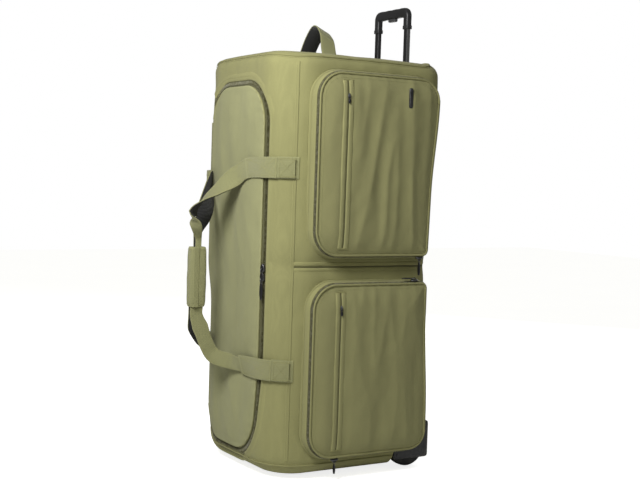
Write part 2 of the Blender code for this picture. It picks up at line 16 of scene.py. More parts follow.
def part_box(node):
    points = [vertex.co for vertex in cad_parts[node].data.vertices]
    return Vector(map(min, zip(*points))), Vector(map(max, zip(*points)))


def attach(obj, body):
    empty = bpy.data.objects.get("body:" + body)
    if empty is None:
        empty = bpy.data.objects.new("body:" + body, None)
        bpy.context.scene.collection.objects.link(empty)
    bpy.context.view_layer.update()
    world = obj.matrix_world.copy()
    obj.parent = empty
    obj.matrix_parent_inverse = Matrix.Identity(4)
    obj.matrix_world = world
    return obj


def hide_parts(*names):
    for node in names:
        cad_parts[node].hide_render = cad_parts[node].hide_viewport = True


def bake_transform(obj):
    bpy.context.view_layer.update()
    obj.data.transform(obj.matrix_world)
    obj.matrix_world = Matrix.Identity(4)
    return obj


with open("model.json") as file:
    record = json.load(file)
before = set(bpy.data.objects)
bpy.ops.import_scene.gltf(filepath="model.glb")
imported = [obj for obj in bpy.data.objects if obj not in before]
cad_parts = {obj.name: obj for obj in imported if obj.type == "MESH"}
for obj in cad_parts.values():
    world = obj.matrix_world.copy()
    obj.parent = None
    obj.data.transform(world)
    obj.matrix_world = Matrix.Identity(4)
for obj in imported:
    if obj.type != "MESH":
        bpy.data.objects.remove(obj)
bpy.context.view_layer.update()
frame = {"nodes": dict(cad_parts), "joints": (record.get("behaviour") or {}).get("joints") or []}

UP = Vector((0.0, 0.0, 1.0))

# ---------------------------------------------------------------- places from the frame
CASE_LOW, CASE_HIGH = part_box("main_shell")
FRONT, BACK, HALF_W = CASE_LOW.y, CASE_HIGH.y, CASE_HIGH.x
Z_LOW, Z_HIGH = CASE_LOW.z, CASE_HIGH.z
FRONT_R, BACK_R = 0.080, 0.040            # radii of the case's upright corners
RIM_LOW, RIM_HIGH = 0.028, 0.024          # rounding of the bottom and top rims
LID_LOW, LID_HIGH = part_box("main_lid")
LID_R = 0.072
TAPER_TOP, TAPER = 0.240, 0.12            # the lid's free edge draws in below this height
COIL_OUT = 0.006                          # main zip coil, outside the lid's edge
HEM_OUT = 0.0150                          # where the case's cloth starts again
SEAM_Y = FRONT + 0.0352                   # upright seam on each front corner
HINGE_CLEAR = 0.004                       # the zip ends this far from the lid's hinge edge
WAIST_LIFT = 0.004                        # the waist's seam sits above the middle of the pockets' gap
WAIST_Z = (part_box("pocket_flap_right_lower")[1].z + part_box("pocket_flap_right_upper")[0].z) / 2 + WAIST_LIFT
MID_Z = 0.4                               # a height between the rims
SIDES = ((1, "right"), (-1, "left"))
LEVELS = ("upper", "lower")


# ---------------------------------------------------------------- paths
def clamp(value, low=0.0, high=1.0):
    return max(low, min(high, value))


def bell(value, middle, reach):
    """1 at the middle, falling smoothly to nothing a few reaches away."""
    return math.exp(-((value - middle) / reach) ** 2)


def ramp(value, low, high):
    """Eases from 0 at low to 1 at high."""
    t = clamp((value - low) / (high - low))
    return t * t * (3.0 - 2.0 * t)


def steps_between(low, high, step):
    """Evenly spaced values from low to high, about one step apart."""
    count = max(2, round((high - low) / step) + 1)
    return [low + (high - low) * i / (count - 1) for i in range(count)]


def distances(points):
    """Distance along a polyline to each of its points."""
    reach = [0.0]
    for a, b in zip(points, points[1:]):
        reach.append(reach[-1] + (b - a).length)
    return reach


def spaced(points, step=None, count=None):
    """Points of a polyline, evenly spaced by distance along it."""
    reach = distances(points)
    total = reach[-1]
    if count is None:
        count = max(2, round(total / step) + 1)
    result, k = [], 0
    for i in range(count):
        goal = total * i / (count - 1)
        while k < len(points) - 2 and reach[k + 1] < goal:
            k += 1
        span = max(reach[k + 1] - reach[k], 1e-9)
        result.append(points[k].lerp(points[k + 1], clamp((goal - reach[k]) / span)))
    return result


def filleted(corners, radii):
    """A polyline through right-angled corners, each rounded by an arc."""
    points, arc_steps = [corners[0]], 16
    for before, corner, after, radius in zip(corners, corners[1:], corners[2:], radii):
        into, out = (corner - before).normalized(), (after - corner).normalized()
        centre = corner - into * radius + out * radius
        for step in range(arc_steps + 1):
            angle = math.pi / 2 * step / arc_steps
            points.append(centre - out * radius * math.cos(angle) + into * radius * math.sin(angle))
    points.append(corners[-1])
    return points


def outline(box, radii, count, grow=0.0):
    """Closed rounded rectangle from the middle of its low side, counter-clockwise."""
    a0, a1, b0, b1 = box[0] - grow, box[1] + grow, box[2] - grow, box[3] + grow
    start = Vector(((a0 + a1) / 2, b0))
    corners = [start, Vector((a1, b0)), Vector((a1, b1)), Vector((a0, b1)), Vector((a0, b0)), start]
    return spaced(filleted(corners, [max(0.001, r + grow) for r in radii]), count=count + 1)[:-1]


def case_outline(count, grow=0.0):
    """The case's outline seen from above, grown outwards."""
    radii = (FRONT_R, BACK_R, BACK_R, FRONT_R)
    return outline((-HALF_W, HALF_W, FRONT, BACK), radii, count, grow)


def slack(x, z):
    """How far the left corner's cloth sinks in where nothing fills it, most at the bottom."""
    depth = 0.0100 * ramp(0.40 - z, 0.0, 0.10) + 0.0110 * ramp(0.11 - z, 0.0, 0.08)
    return -depth * ramp(-x, 0.05, 0.15)


def rim_inset(z):
    """How far the front has turned under at a height, along the bottom rim's rounding."""
    depth = clamp(Z_LOW + RIM_LOW - z, 0.0, RIM_LOW)
    return RIM_LOW - math.sqrt(RIM_LOW**2 - depth**2)


def front_point(x, z, lift=0.0):
    """A point on the case's front and its outward direction; the front turns at the corners."""
    lift += slack(x, z) - rim_inset(z)
    across = abs(x) - (HALF_W - FRONT_R)
    if across <= 0.0:
        return Vector((x, FRONT - lift, z)), Vector((0.0, -1.0, 0.0))
    tilt = math.asin(min(0.999, across / FRONT_R))
    normal = Vector((math.copysign(math.sin(tilt), x), -math.cos(tilt), 0.0))
    centre = Vector((math.copysign(HALF_W - FRONT_R, x), FRONT + FRONT_R, z))
    return centre + normal * (FRONT_R + lift), normal


def side_base(y):
    """Half width of the case at y, where the corners draw it in."""
    ahead, behind = FRONT + FRONT_R - y, y - (BACK - BACK_R)
    if ahead > 0.0:
        return HALF_W - FRONT_R + math.sqrt(max(0.0, FRONT_R**2 - ahead**2))
    if behind > 0.0:
        return HALF_W - BACK_R + math.sqrt(max(0.0, BACK_R**2 - behind**2))
    return HALF_W


def lid_box(grow=0.0):
    """The lid's lowest and highest x, then z, grown outwards."""
    return LID_LOW.x - grow, LID_HIGH.x + grow, LID_LOW.z - grow, LID_HIGH.z + grow


def draw_in(x, z):
    """The lid's free edge leans in towards its lower corner."""
    t = clamp((TAPER_TOP - z) / (TAPER_TOP - LID_LOW.z))
    return x * (1.0 - TAPER * t * t * (3.0 - 2.0 * t)) if x > 0.0 else x


def zip_path(grow, lift, step=0.004):
    """Track along the lid's zip, round from the hinge edge's low end to its high end."""
    a0, a1, b0, b1 = lid_box(grow)
    turn = LID_R + grow
    corners = [Vector(c) for c in ((a0, b0 + turn + step), (a0, b0), (a1, b0), (a1, b1), (a0, b1),
                                   (a0, b1 - turn - step))]
    flat = spaced(filleted(corners, [turn] * 4), step=step)
    flat = [p for p in flat if p.x > LID_LOW.x + HINGE_CLEAR]
    return [front_point(draw_in(p.x, p.y), p.y, lift) for p in flat]


def smoothed(track, rounds=2, reach=2):
    """Evens out the normals of a track that was laid on a faceted surface."""
    for _ in range(rounds):
        normals = [n for _, n in track]
        mixed = []
        for i in range(len(track)):
            near = normals[max(0, i - reach):i + reach + 1]
            mixed.append(sum(near, Vector()).normalized())
        track = [(p, n) for (p, _), n in zip(track, mixed)]
    return track


def laid_on(tree, points, lift=0.0):
    """Track of points dropped onto the nearest surface, then lifted off it."""
    track = []
    for point in points:
        place, normal, _, _ = tree.find_nearest(point)
        track.append((place, normal))
    return [(p + n * lift, n) for p, n in smoothed(track)]


def catmull(points, steps):
    """Smooth curve through points."""
    result, last = [], len(points) - 1
    for index in range(last):
        a, b, c, d = (points[max(0, min(last, index + k))] for k in (-1, 0, 1, 2))
        for step in range(steps):
            t = step / steps
            result.append(0.5 * (2 * b + (c - a) * t + (2 * a - 5 * b + 4 * c - d) * t**2
                                 + (3 * b - 3 * c + d - a) * t**3))
    result.append(points[-1])
    return result


def direction(points, i):
    """Unit direction of a polyline at one of its points."""
    return (points[min(len(points) - 1, i + 1)] - points[max(0, i - 1)]).normalized()


def loop_track(rows, steps=6):
    """Smooth track through (place, width direction) rows, facing across the band's width."""
    curve, track = catmull([point for point, _ in rows], steps), []
    for i, point in enumerate(curve):
        k = min(i // steps, len(rows) - 2)
        width = rows[k][1].lerp(rows[k + 1][1], (i - k * steps) / steps)
        track.append((point, width.cross(direction(curve, i)).normalized()))
    return track


# ---------------------------------------------------------------- meshes
def ripple(point, scale, seed=0.0):
    """Smooth noise between about -1 and 1."""
    return noise.noise(Vector(point) * scale + Vector((seed, seed * 1.7, -seed)))


def piece(name, verts, faces, mats, body, slot, smooth=True, angle=40.0):
    """One visible piece riding on a body."""
    mesh = bpy.data.meshes.new(name)
    mesh.from_pydata([tuple(v) for v in verts], [], faces)
    work = bmesh.new()
    work.from_mesh(mesh)
    bmesh.ops.recalc_face_normals(work, faces=work.faces)
    work.to_mesh(mesh)
    work.free()
    obj = bpy.data.objects.new(name, mesh)
    bpy.context.scene.collection.objects.link(obj)
    for mat in mats if isinstance(mats, (list, tuple)) else [mats]:
        mesh.materials.append(mat)
    if smooth:
        mesh.shade_smooth()
        mesh.set_sharp_from_angle(angle=math.radians(angle))
    if body:
        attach(obj, body)
    return obj


def baked(obj):
    """The object with its modifiers applied."""
    graph = bpy.context.evaluated_depsgraph_get()
    mesh = bpy.data.meshes.new_from_object(obj.evaluated_get(graph), depsgraph=graph)
    old = obj.data
    obj.modifiers.clear()
    obj.data = mesh
    bpy.data.meshes.remove(old)
    return obj


def tree_of(obj):
    """Search tree of an object's surface as it is now."""
    verts = [v.co.copy() for v in obj.data.vertices]
    return BVHTree.FromPolygons(verts, [tuple(p.vertices) for p in obj.data.polygons])


def grid_faces(rows, cols, closed=False):
    """Quads of a grid of places, row by row; closed joins each row's end to its start."""
    faces = []
    for i in range(rows - 1):
        for j in range(cols if closed else cols - 1):
            k = (j + 1) % cols
            faces.append((i * cols + j, i * cols + k, (i + 1) * cols + k, (i + 1) * cols + j))
    return faces


def tube_faces(rows, around, capped=True):
    """Faces of stacked rings, closed by two end caps or by joining the last ring to the first."""
    faces = grid_faces(rows, around, closed=True)
    last = (rows - 1) * around
    if capped:
        return faces + [tuple(range(around)), tuple(range(last, last + around))]
    return faces + [(last + j, last + (j + 1) % around, (j + 1) % around, j) for j in range(around)]


def solidify(obj, depth, offset=-1.0, inner=None):
    """Gives a sheet its thickness, with another material on its inner face, and applies it."""
    mod = obj.modifiers.new("Thickness", "SOLIDIFY")
    mod.thickness = depth
    mod.offset = offset
    mod.use_even_offset = True
    if inner is not None:
        obj.data.materials.append(inner)
        mod.material_offset = 1
    return baked(obj)


def soft_edges(obj, width, segments=3, angle=35.0):
    """Rounds off the edges that turn by more than an angle."""
    mod = obj.modifiers.new("Bevel", "BEVEL")
    mod.width = width
    mod.segments = segments
    mod.limit_method = "ANGLE"
    mod.angle_limit = math.radians(angle)


def frames(track, closed=False):
    """(point, along, side, normal) at each place of a track."""
    count, result = len(track), []
    for i, (point, normal) in enumerate(track):
        if closed:
            ahead, behind = track[(i + 1) % count][0], track[i - 1][0]
        else:
            ahead, behind = track[min(count - 1, i + 1)][0], track[max(0, i - 1)][0]
        along = (ahead - behind).normalized()
        side = along.cross(normal).normalized()
        result.append((point, along, side, side.cross(along).normalized()))
    return result


def sweep_data(track, profile, closed=False, shares=None):
    """Verts and faces of a closed profile of (side, up) carried along a track."""
    verts = []
    for (point, _, side, up), share in zip(frames(track, closed), shares or [1.0] * len(track)):
        verts += [point + side * s * share + up * u for s, u in profile]
    return verts, tube_faces(len(track), len(profile), capped=not closed)


def sweep(name, track, profile, mat, body, slot, closed=False, angle=50.0, shares=None):
    """One piece with a steady profile along a track; shares narrow it place by place."""
    verts, faces = sweep_data(track, profile, closed, shares)
    return piece(name, verts, faces, mat, body, slot, angle=angle)


def cord(name, track, body="case", radius=0.0021, closed=False):
    """Round piping cord along a track."""
    sweep(name, track, round_profile(radius), MATS["piping"], body, "canvas", closed)


def round_profile(radius, sides=10, flat=1.0, rise=0.0):
    """Round section, pressed flatter by flat."""
    steps = [2 * math.pi * i / sides for i in range(sides)]
    return [(radius * math.cos(t), radius * flat * math.sin(t) + rise) for t in steps]


def band_profile(width, thickness, edge=0.4, low=0.0):
    """Flat band with softened edges, sitting from low upwards."""
    half, e = width / 2, thickness * edge
    top = low + thickness
    return [(-half, low + e), (-half + e, low), (half - e, low), (half, low + e),
            (half, top - e), (half - e, top), (half - 3 * e, top + e * 0.25),
            (-half + 3 * e, top + e * 0.25), (-half + e, top), (-half, top - e)]


def shifted(track, side=0.0, up=0.0):
    """The same track moved across and off its surface."""
    return [(p + s * side + n * up, n) for p, _, s, n in frames(track)]


def respaced(track, step):
    """The same track with places about one step apart."""
    points = [p for p, _ in track]
    reach = distances(points)
    count, result, k = max(2, int(reach[-1] / step)), [], 0
    for i in range(count):
        goal = (i + 0.5) * reach[-1] / count
        while reach[k + 1] < goal:
            k += 1
        t = (goal - reach[k]) / max(reach[k + 1] - reach[k], 1e-9)
        result.append((points[k].lerp(points[k + 1], t), track[k][1].lerp(track[k + 1][1], t)))
    return result


class Bits:
    """Many small copies gathered in one mesh, such as stitches or zip teeth."""

    def __init__(self):
        self.verts, self.faces = [], []

    def add(self, verts, faces):
        base = len(self.verts)
        self.verts += verts
        self.faces += [tuple(base + i for i in face) for face in faces]

    def stitches(self, track, side=0.0, up=0.0, length=0.0032, pitch=0.0050, radius=0.00042):
        """Pointed rice-grain stitches, one every pitch along a track."""
        for point, along, across, out in frames(respaced(track, pitch)):
            middle = point + across * side + out * up
            ring = [across * radius, out * radius, -across * radius, -out * radius * 0.6]
            verts = [middle - along * length / 2]
            for reach in (-0.28, 0.28):
                verts += [middle + along * length * reach + r for r in ring]
            verts.append(middle + along * length / 2)
            faces = [(0, 1 + (k + 1) % 4, 1 + k) for k in range(4)]
            faces += [(1 + k, 1 + (k + 1) % 4, 5 + (k + 1) % 4, 5 + k) for k in range(4)]
            faces += [(9, 5 + k, 5 + (k + 1) % 4) for k in range(4)]
            self.add(verts, faces)

    def teeth(self, track, half=0.0024, pitch=0.0021, height=0.0016):
        """Turns of a coil zip, leaning left and right by turns."""
        shoulder = height * 0.8
        arch = ((-0.0008, 0.0), (-0.0006, shoulder), (0.0, height), (0.0006, shoulder), (0.0008, 0.0))
        faces = [(k, k + 1, k + 6, k + 5) for k in range(4)] + [(0, 5, 9, 4)]
        faces += [(0, 1, 2, 3, 4), (5, 6, 7, 8, 9)]
        for index, (point, along, across, out) in enumerate(frames(respaced(track, pitch))):
            lean = 0.0006 if index % 2 else -0.0006
            verts = []
            for s in (-half + lean, half + lean):
                verts += [point + across * s + along * a + out * u for a, u in arch]
            self.add(verts, faces)

    def build(self, name, mat, body, slot):
        return piece(name, self.verts, self.faces, mat, body, slot, angle=60.0)


def stitch_row(name, track, up, body="case"):
    """One row of stitches as a piece of its own."""
    stitches = Bits()
    stitches.stitches(track, 0.0, up)
    stitches.build(name, MATS["thread"], body, "canvas")


def cut_away(obj, other):
    """Takes another solid out of this one and applies the result."""
    mod = obj.modifiers.new("Cut", "BOOLEAN")
    mod.operation = "DIFFERENCE"
    mod.solver = "EXACT"
    mod.object = other
    baked(obj)
    bpy.data.objects.remove(other, do_unlink=True)
    return obj


def helper_prism(flat, place, low, high):
    """A plain cutter: a 2-D outline set in space by place(a, b, depth)."""
    verts = [place(p.x, p.y, low) for p in flat] + [place(p.x, p.y, high) for p in flat]
    return piece("helper", verts, tube_faces(2, len(flat)), [], None, None, smooth=False)


def cut_tube_holes(obj, gap, radius, count, low, high):
    """Holes through a cover where the two handle tubes pass."""
    for _, tag in SIDES:
        tube_low, tube_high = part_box("handle_tube_" + tag)
        window = (tube_low.x - gap, tube_high.x + gap, tube_low.y - gap, tube_high.y + gap)
        flat = outline(window, (radius,) * 4, count)
        cut_away(obj, helper_prism(flat, lambda a, b, c: (a, b, c), low, high))


# ---------------------------------------------------------------- materials
class Nodes:
    """Short hand for building a material's node tree."""

    def __init__(self, name):
        self.mat = bpy.data.materials.new(name)
        self.mat.use_nodes = True
        self.tree = self.mat.node_tree
        self.shader = self.tree.nodes["Principled BSDF"]
        coords = self.tree.nodes.new("ShaderNodeTexCoord")
        self.place = coords.outputs["Object"]
        self.normal = coords.outputs["Normal"]

    def add(self, kind, inputs=None, **settings):
        """A new node with its settings, and its inputs linked or set."""
        node = self.tree.nodes.new("ShaderNode" + kind)
        for key, value in settings.items():
            setattr(node, key, value)
        for key, value in (inputs or {}).items():
            if hasattr(value, "is_output"):
                self.tree.links.new(value, node.inputs[key])
            else:
                node.inputs[key].default_value = value
        return node

    def math(self, operation, a, b=0.0):
        return self.add("Math", {0: a, 1: b}, operation=operation).outputs[0]

    def noise(self, scale, detail=3.0, rough=0.55, stretch=None):
        place = self.place
        if stretch:
            place = self.add("VectorMath", {0: place, 1: stretch}, operation="MULTIPLY").outputs[0]
        inputs = {"Vector": place, "Scale": scale, "Detail": detail, "Roughness": rough}
        return self.add("TexNoise", inputs).outputs["Fac"]

    def spread(self, value, low, high, out_low=0.0, out_high=1.0):
        inputs = {"Value": value, 1: low, 2: high, 3: out_low, 4: out_high}
        return self.add("MapRange", inputs).outputs[0]

    def mix(self, factor, a, b):
        node = self.add("Mix", {0: factor, 6: a, 7: b}, data_type="RGBA")
        return node.outputs[2]

    def bump(self, height, strength, distance, before=None):
        inputs = {"Height": height, "Strength": strength, "Distance": distance}
        if before is not None:
            inputs["Normal"] = before
        return self.add("Bump", inputs).outputs[0]

    def weave(self, pitch, twill=0.0):
        """Height of a plain or twill weave, seen straight on from each axis."""
        turn = math.pi / pitch
        parts = self.add("SeparateXYZ", {0: self.place}).outputs
        facing = self.add("SeparateXYZ", {0: self.normal}).outputs
        total = None
        for k, (a, b) in enumerate(((1, 2), (0, 2), (0, 1))):
            u = self.math("MULTIPLY", parts[a], turn)
            v = self.math("MULTIPLY", parts[b], turn)
            v = self.math("ADD", v, self.math("MULTIPLY", u, twill)) if twill else v
            checks = self.math("MULTIPLY", self.math("SINE", u), self.math("SINE", v))
            weight = self.math("POWER", self.math("ABSOLUTE", facing[k]), 2.0)
            term = self.math("MULTIPLY", checks, weight)
            total = term if total is None else self.math("ADD", total, term)
        return total

    def finish(self, colour, roughness, normal=None):
        for key, value in (("Base Color", colour), ("Roughness", roughness), ("Normal", normal)):
            if value is None:
                continue
            if hasattr(value, "is_output"):
                self.tree.links.new(value, self.shader.inputs[key])
            else:
                self.shader.inputs[key].default_value = value
        return self.mat


def shade(colour, factor):
    """The colour made lighter or darker, with full alpha."""
    return (colour[0] * factor, colour[1] * factor, colour[2] * factor, 1.0)


def cloth_material(name, colour, pitch=0.0011, grain=1.0, twill=0.0, sheen=0.08):
    """Woven polyester: yarn colour, broad fading, fine weave and soft nap; painted shade in the weave's low
    spots and in creases, paler wear on raised edges.
    """
    n = Nodes(name)
    weave = n.weave(pitch, twill)
    yarn = n.noise(900.0, 2.0, 0.6)
    broad = n.noise(7.0, 4.0, 0.6)
    streak = n.noise(60.0, 3.0, 0.5, (1.0, 1.0, 0.12))
    tone = n.mix(n.spread(broad, 0.3, 0.7), shade(colour, 0.93), shade(colour, 1.06))
    tone = n.mix(n.spread(yarn, 0.35, 0.65, 0.0, 0.5), tone, shade(colour, 1.18))
    tone = n.mix(n.spread(streak, 0.45, 0.75, 0.0, 0.35), tone, shade(colour, 0.86))
    # painted shade: the weave's lowest spots are made darker
    tone = n.mix(n.spread(weave, -0.9, -0.2, 0.35, 0.0), tone, shade(colour, 0.62))
    edge = n.add("NewGeometry").outputs["Pointiness"]
    tone = n.mix(n.spread(edge, 0.515, 0.56, 0.0, 0.35), tone, shade(colour, 1.35))
    # painted shade: hollows and creases, where pointiness is low, are made darker; the line above makes raised
    # edges paler as wear
    tone = n.mix(n.spread(edge, 0.44, 0.49, 0.48, 0.0), tone, shade(colour, 0.45))
    rough = n.spread(yarn, 0.3, 0.7, 0.80, 0.94)
    normal = n.bump(weave, 0.45 * grain, 0.0004)
    normal = n.bump(n.noise(260.0, 4.0), 0.25, 0.0006, normal)
    normal = n.bump(n.noise(38.0, 4.0, 0.6), 0.30, 0.0016, normal)
    n.shader.inputs["Sheen Weight"].default_value = sheen
    n.shader.inputs["Sheen Roughness"].default_value = 0.55
    n.shader.inputs["Specular IOR Level"].default_value = 0.25
    return n.finish(tone, rough, normal)


def webbing_material(name, colour, across):
    """Ribbed webbing: close ribs that follow each other along a direction, and a herringbone ripple, with
    painted shade in the rib hollows and a painted highlight on their crests.
    """
    n = Nodes(name)
    parts = n.add("SeparateXYZ", {0: n.place}).outputs
    total = None
    for axis, weight in zip(parts, across):
        term = n.math("MULTIPLY", axis, weight)
        total = term if total is None else n.math("ADD", total, term)
    rib = n.math("SINE", n.math("MULTIPLY", total, 2 * math.pi / 0.0022))
    height = n.math("ADD", rib, n.math("MULTIPLY", n.weave(0.0016, 1.0), 0.6))
    yarn = n.noise(700.0, 2.0, 0.6)
    # painted shade and highlight: darker in the ribs' hollows, lighter on their crests
    tone = n.mix(n.spread(height, -1.4, 0.8), shade(colour, 0.62), shade(colour, 1.10))
    tone = n.mix(n.spread(yarn, 0.35, 0.65, 0.0, 0.4), tone, shade(colour, 0.8))
    edge = n.add("NewGeometry").outputs["Pointiness"]
    tone = n.mix(n.spread(edge, 0.53, 0.60, 0.0, 0.4), tone, shade(colour, 1.45))
    normal = n.bump(height, 0.6, 0.0005)
    n.shader.inputs["Sheen Weight"].default_value = 0.15
    n.shader.inputs["Specular IOR Level"].default_value = 0.25
    return n.finish(tone, n.spread(yarn, 0.3, 0.7, 0.72, 0.9), normal)


def plastic_material(name, colour, rough=0.42, grain=0.35):
    """Moulded plastic with a fine sandblast grain, scuffed lighter on its edges."""
    n = Nodes(name)
    fine = n.noise(1600.0, 3.0, 0.6)
    patch = n.noise(30.0, 3.0)
    edge = n.add("NewGeometry").outputs["Pointiness"]
    scuff = n.math("MULTIPLY", n.spread(edge, 0.52, 0.60), n.spread(n.noise(180.0), 0.42, 0.62))
    tone = n.mix(n.spread(patch, 0.35, 0.65), shade(colour, 0.85), shade(colour, 1.2))
    tone = n.mix(n.math("MULTIPLY", scuff, 0.5), tone, shade([c + 0.06 for c in colour], 1.8))
    roughness = n.spread(patch, 0.3, 0.7, rough - 0.06, rough + 0.10)
    return n.finish(tone, roughness, n.bump(fine, grain, 0.0003))


def metal_material(name, colour, rough=0.32, stretch=(1.0, 1.0, 0.05), metallic=1.0):
    """Plated or anodised metal with drawn streaks and rubbed edges."""
    n = Nodes(name)
    streak = n.noise(900.0, 3.0, 0.6, stretch)
    edge = n.add("NewGeometry").outputs["Pointiness"]
    tone = n.mix(n.spread(streak, 0.3, 0.7), shade(colour, 0.8), shade(colour, 1.2))
    tone = n.mix(n.spread(edge, 0.53, 0.62, 0.0, 0.7), tone, shade([c + 0.12 for c in colour], 1.6))
    n.shader.inputs["Metallic"].default_value = metallic
    roughness = n.spread(streak, 0.3, 0.7, rough - 0.06, rough + 0.10)
    return n.finish(tone, roughness, n.bump(streak, 0.15, 0.0002))


def rubber_material(name, colour):
    """Matt wheel rubber, dusty where it rolls."""
    n = Nodes(name)
    dust = n.noise(70.0, 4.0, 0.6)
    tone = n.mix(n.spread(dust, 0.45, 0.75, 0.0, 0.6), shade(colour, 1.0), (0.11, 0.105, 0.09, 1.0))
    return n.finish(tone, n.spread(dust, 0.3, 0.7, 0.65, 0.85), n.bump(n.noise(500.0, 3.0), 0.4, 0.0004))


def board_material(name, colour):
    """Fluted sheet behind the lining, with painted shade in the flutes' troughs and a painted highlight on
    their crests.
    """
    n = Nodes(name)
    x = n.add("SeparateXYZ", {0: n.place}).outputs[0]
    flute = n.math("SINE", n.math("MULTIPLY", x, 2 * math.pi / 0.008))
    # painted shade and highlight: darker in the flutes' troughs, lighter on their crests
    tone = n.mix(n.spread(flute, -1.0, 1.0), shade(colour, 0.8), shade(colour, 1.15))
    return n.finish(tone, 0.7, n.bump(flute, 0.4, 0.0006))


def olive(red, green=None, blue=None):
    """The bag's olive, made lighter or darker, each channel by its own factor or all alike."""
    factors = (red, green or red, blue or red)
    return [c * f for c, f in zip((0.270, 0.262, 0.112), factors)]


RIBS = (1.0, 0.35, 0.8)                   # direction across which the webbing's ribs follow each other
MATS = {
    "canvas": cloth_material("canvas", olive(1.0)),
    "panel": cloth_material("panel_cloth", olive(0.98, 0.98, 1.02), grain=1.1),
    # painted sheen: the lid's cloth is the canvas made lighter and bluer, standing for the sheen the key light
    # gives the front
    "lid": cloth_material("lid_cloth", olive(1.10, 1.13, 1.32), grain=1.1),
    "piping": cloth_material("piping", olive(0.86), 0.0008),
    "tape": cloth_material("zip_tape", olive(0.42), 0.0008, twill=1.0),
    "lining": cloth_material("lining", (0.030, 0.031, 0.033), 0.0006, 0.5, sheen=0.3),
    "thread": cloth_material("thread", olive(0.98), 0.0005, 0.6),
    "webbing": webbing_material("webbing", olive(1.12, 1.15, 1.28), RIBS),
    "webbing_black": webbing_material("webbing_black", (0.016, 0.016, 0.017), RIBS),
    "coil": plastic_material("zip_coil", (0.070, 0.066, 0.022), 0.50, 0.2),
    "plastic": plastic_material("black_plastic", (0.017, 0.017, 0.019), 0.40, 0.35),
    "button": plastic_material("button_plastic", (0.045, 0.045, 0.048), 0.36, 0.2),
    "gunmetal": metal_material("gunmetal", (0.040, 0.040, 0.044), 0.34, (1.0, 1.0, 1.0), 0.8),
    "tube": metal_material("tube_metal", (0.020, 0.020, 0.022), 0.42, metallic=0.4),
    "steel": metal_material("steel", (0.42, 0.42, 0.43), 0.30),
    "rubber": rubber_material("wheel_rubber", (0.022, 0.022, 0.023)),
    "board": board_material("stiff_board", (0.060, 0.058, 0.052)),
}


# ---------------------------------------------------------------- case
def case_relief(point, normal):
    """How far the stuffed cloth stands out of the plain case at a point of its wall."""
    x, y, z = point
    side = abs(normal.x)
    waist = -0.0045 * side * bell(z, WAIST_Z, 0.016)
    swell = 0.0020 * math.sin(math.pi * clamp((z - Z_LOW) / (Z_HIGH - Z_LOW)))
    corner = bell(y, SEAM_Y, 0.030)
    folds = 0.0012 * ripple((x * 1.2, y * 1.2, z * 0.35), 26.0)
    creases = 0.0009 * ripple((x, y, z * 0.6), 60.0, 3.1)
    pull = 0.0013 * corner * ripple((x, y, z), 17.0, 7.7)
    beside_hinge = -0.0044 * bell(x, LID_LOW.x - 0.012, 0.026) * ramp(FRONT + 0.06 - y, 0.0, 0.02)
    return waist + swell + folds + creases + pull + beside_hinge


def crown(place):
    """How far the top's rim rises between the corners, as stuffed cloth does."""
    along = 1.0 - clamp(abs(place.x) / HALF_W) ** 4
    across = 1.0 - clamp(abs(2.0 * place.y - FRONT - BACK) / (BACK - FRONT)) ** 4
    return 0.0075 * max(along, across * 0.55)


def flare(point):
    """The back corners stand out behind the pockets, at the top and above the wheels."""
    out = 0.0195 * ramp(point.z, 0.58, 0.72) + 0.0100 * ramp(0.34 - point.z, 0.0, 0.20)
    return out * ramp(abs(point.x), 0.085, 0.145) * ramp(point.y, BACK - 0.09, BACK - 0.01)


def case_rows():
    """(inset, shrink, height, wall) of each ring from the bottom's middle to the top's."""
    shrinks = (0.02, 0.15, 0.32, 0.50, 0.66, 0.80, 0.90, 0.96)
    bend = [math.radians(90.0 * k / 7) for k in range(8)]
    rows = [(RIM_LOW, s, Z_LOW, 0.0) for s in shrinks]
    rows += [(RIM_LOW * (1 - math.sin(a)), 1.0, Z_LOW + RIM_LOW * (1 - math.cos(a)), math.sin(a))
             for a in bend]
    low, high, wall_rows = Z_LOW + RIM_LOW, Z_HIGH - RIM_HIGH, 116
    rows += [(0.0, 1.0, low + (high - low) * k / wall_rows, 1.0) for k in range(1, wall_rows)]
    rows += [(RIM_HIGH * (1 - math.sin(a)), 1.0, Z_HIGH - RIM_HIGH * (1 - math.cos(a)), math.sin(a))
             for a in bend[::-1]]
    return rows + [(RIM_HIGH, s, Z_HIGH, 0.0) for s in shrinks[::-1]]


def case_ring(row, around):
    """One ring of the stuffed case at a row of case_rows."""
    inset, shrink, height, wall = row
    middle = Vector((0.0, (FRONT + BACK) / 2))
    ring, places = case_outline(around, -inset), []
    for i, flat in enumerate(ring):
        step = ring[(i + 1) % around] - ring[i - 1]
        normal = Vector((step.y, -step.x, 0.0)).normalized()
        flat = middle + (flat - middle) * shrink
        point = Vector((flat.x, flat.y, height))
        point += normal * slack(flat.x, height) * ramp(FRONT + 0.10 - flat.y, 0.0, 0.07) * shrink
        if wall > 0.0:
            point += normal * case_relief(point, normal) * wall
        if height > (Z_LOW + Z_HIGH) / 2:
            dome = 0.006 * (1.0 - shrink**2) + 0.0012 * ripple(point, 16.0, 2.0)
            point.z += dome * (1.0 - wall) + crown(flat) * ramp(height, Z_HIGH - 0.10, Z_HIGH)
        else:
            point.z -= 0.0065 * (1.0 - wall) * ramp(1.2 - shrink, 0.0, 0.25)
        point.y += flare(point)
        places.append(point)
    return places


def open_for_lid(shell):
    """Cuts the case's cloth away inside the lid's zip, up to the hinge."""
    _, a1, b0, b1 = lid_box(HEM_OUT)
    flat = outline((LID_LOW.x - 0.001, a1, b0, b1), (LID_R + HEM_OUT,) * 4, 160)
    flat = [Vector((draw_in(p.x, p.y), p.y)) for p in flat]
    outside, inside = FRONT - 0.03, FRONT + 0.06
    cut_away(shell, helper_prism(flat, lambda a, b, c: (a, c, b), outside, inside))


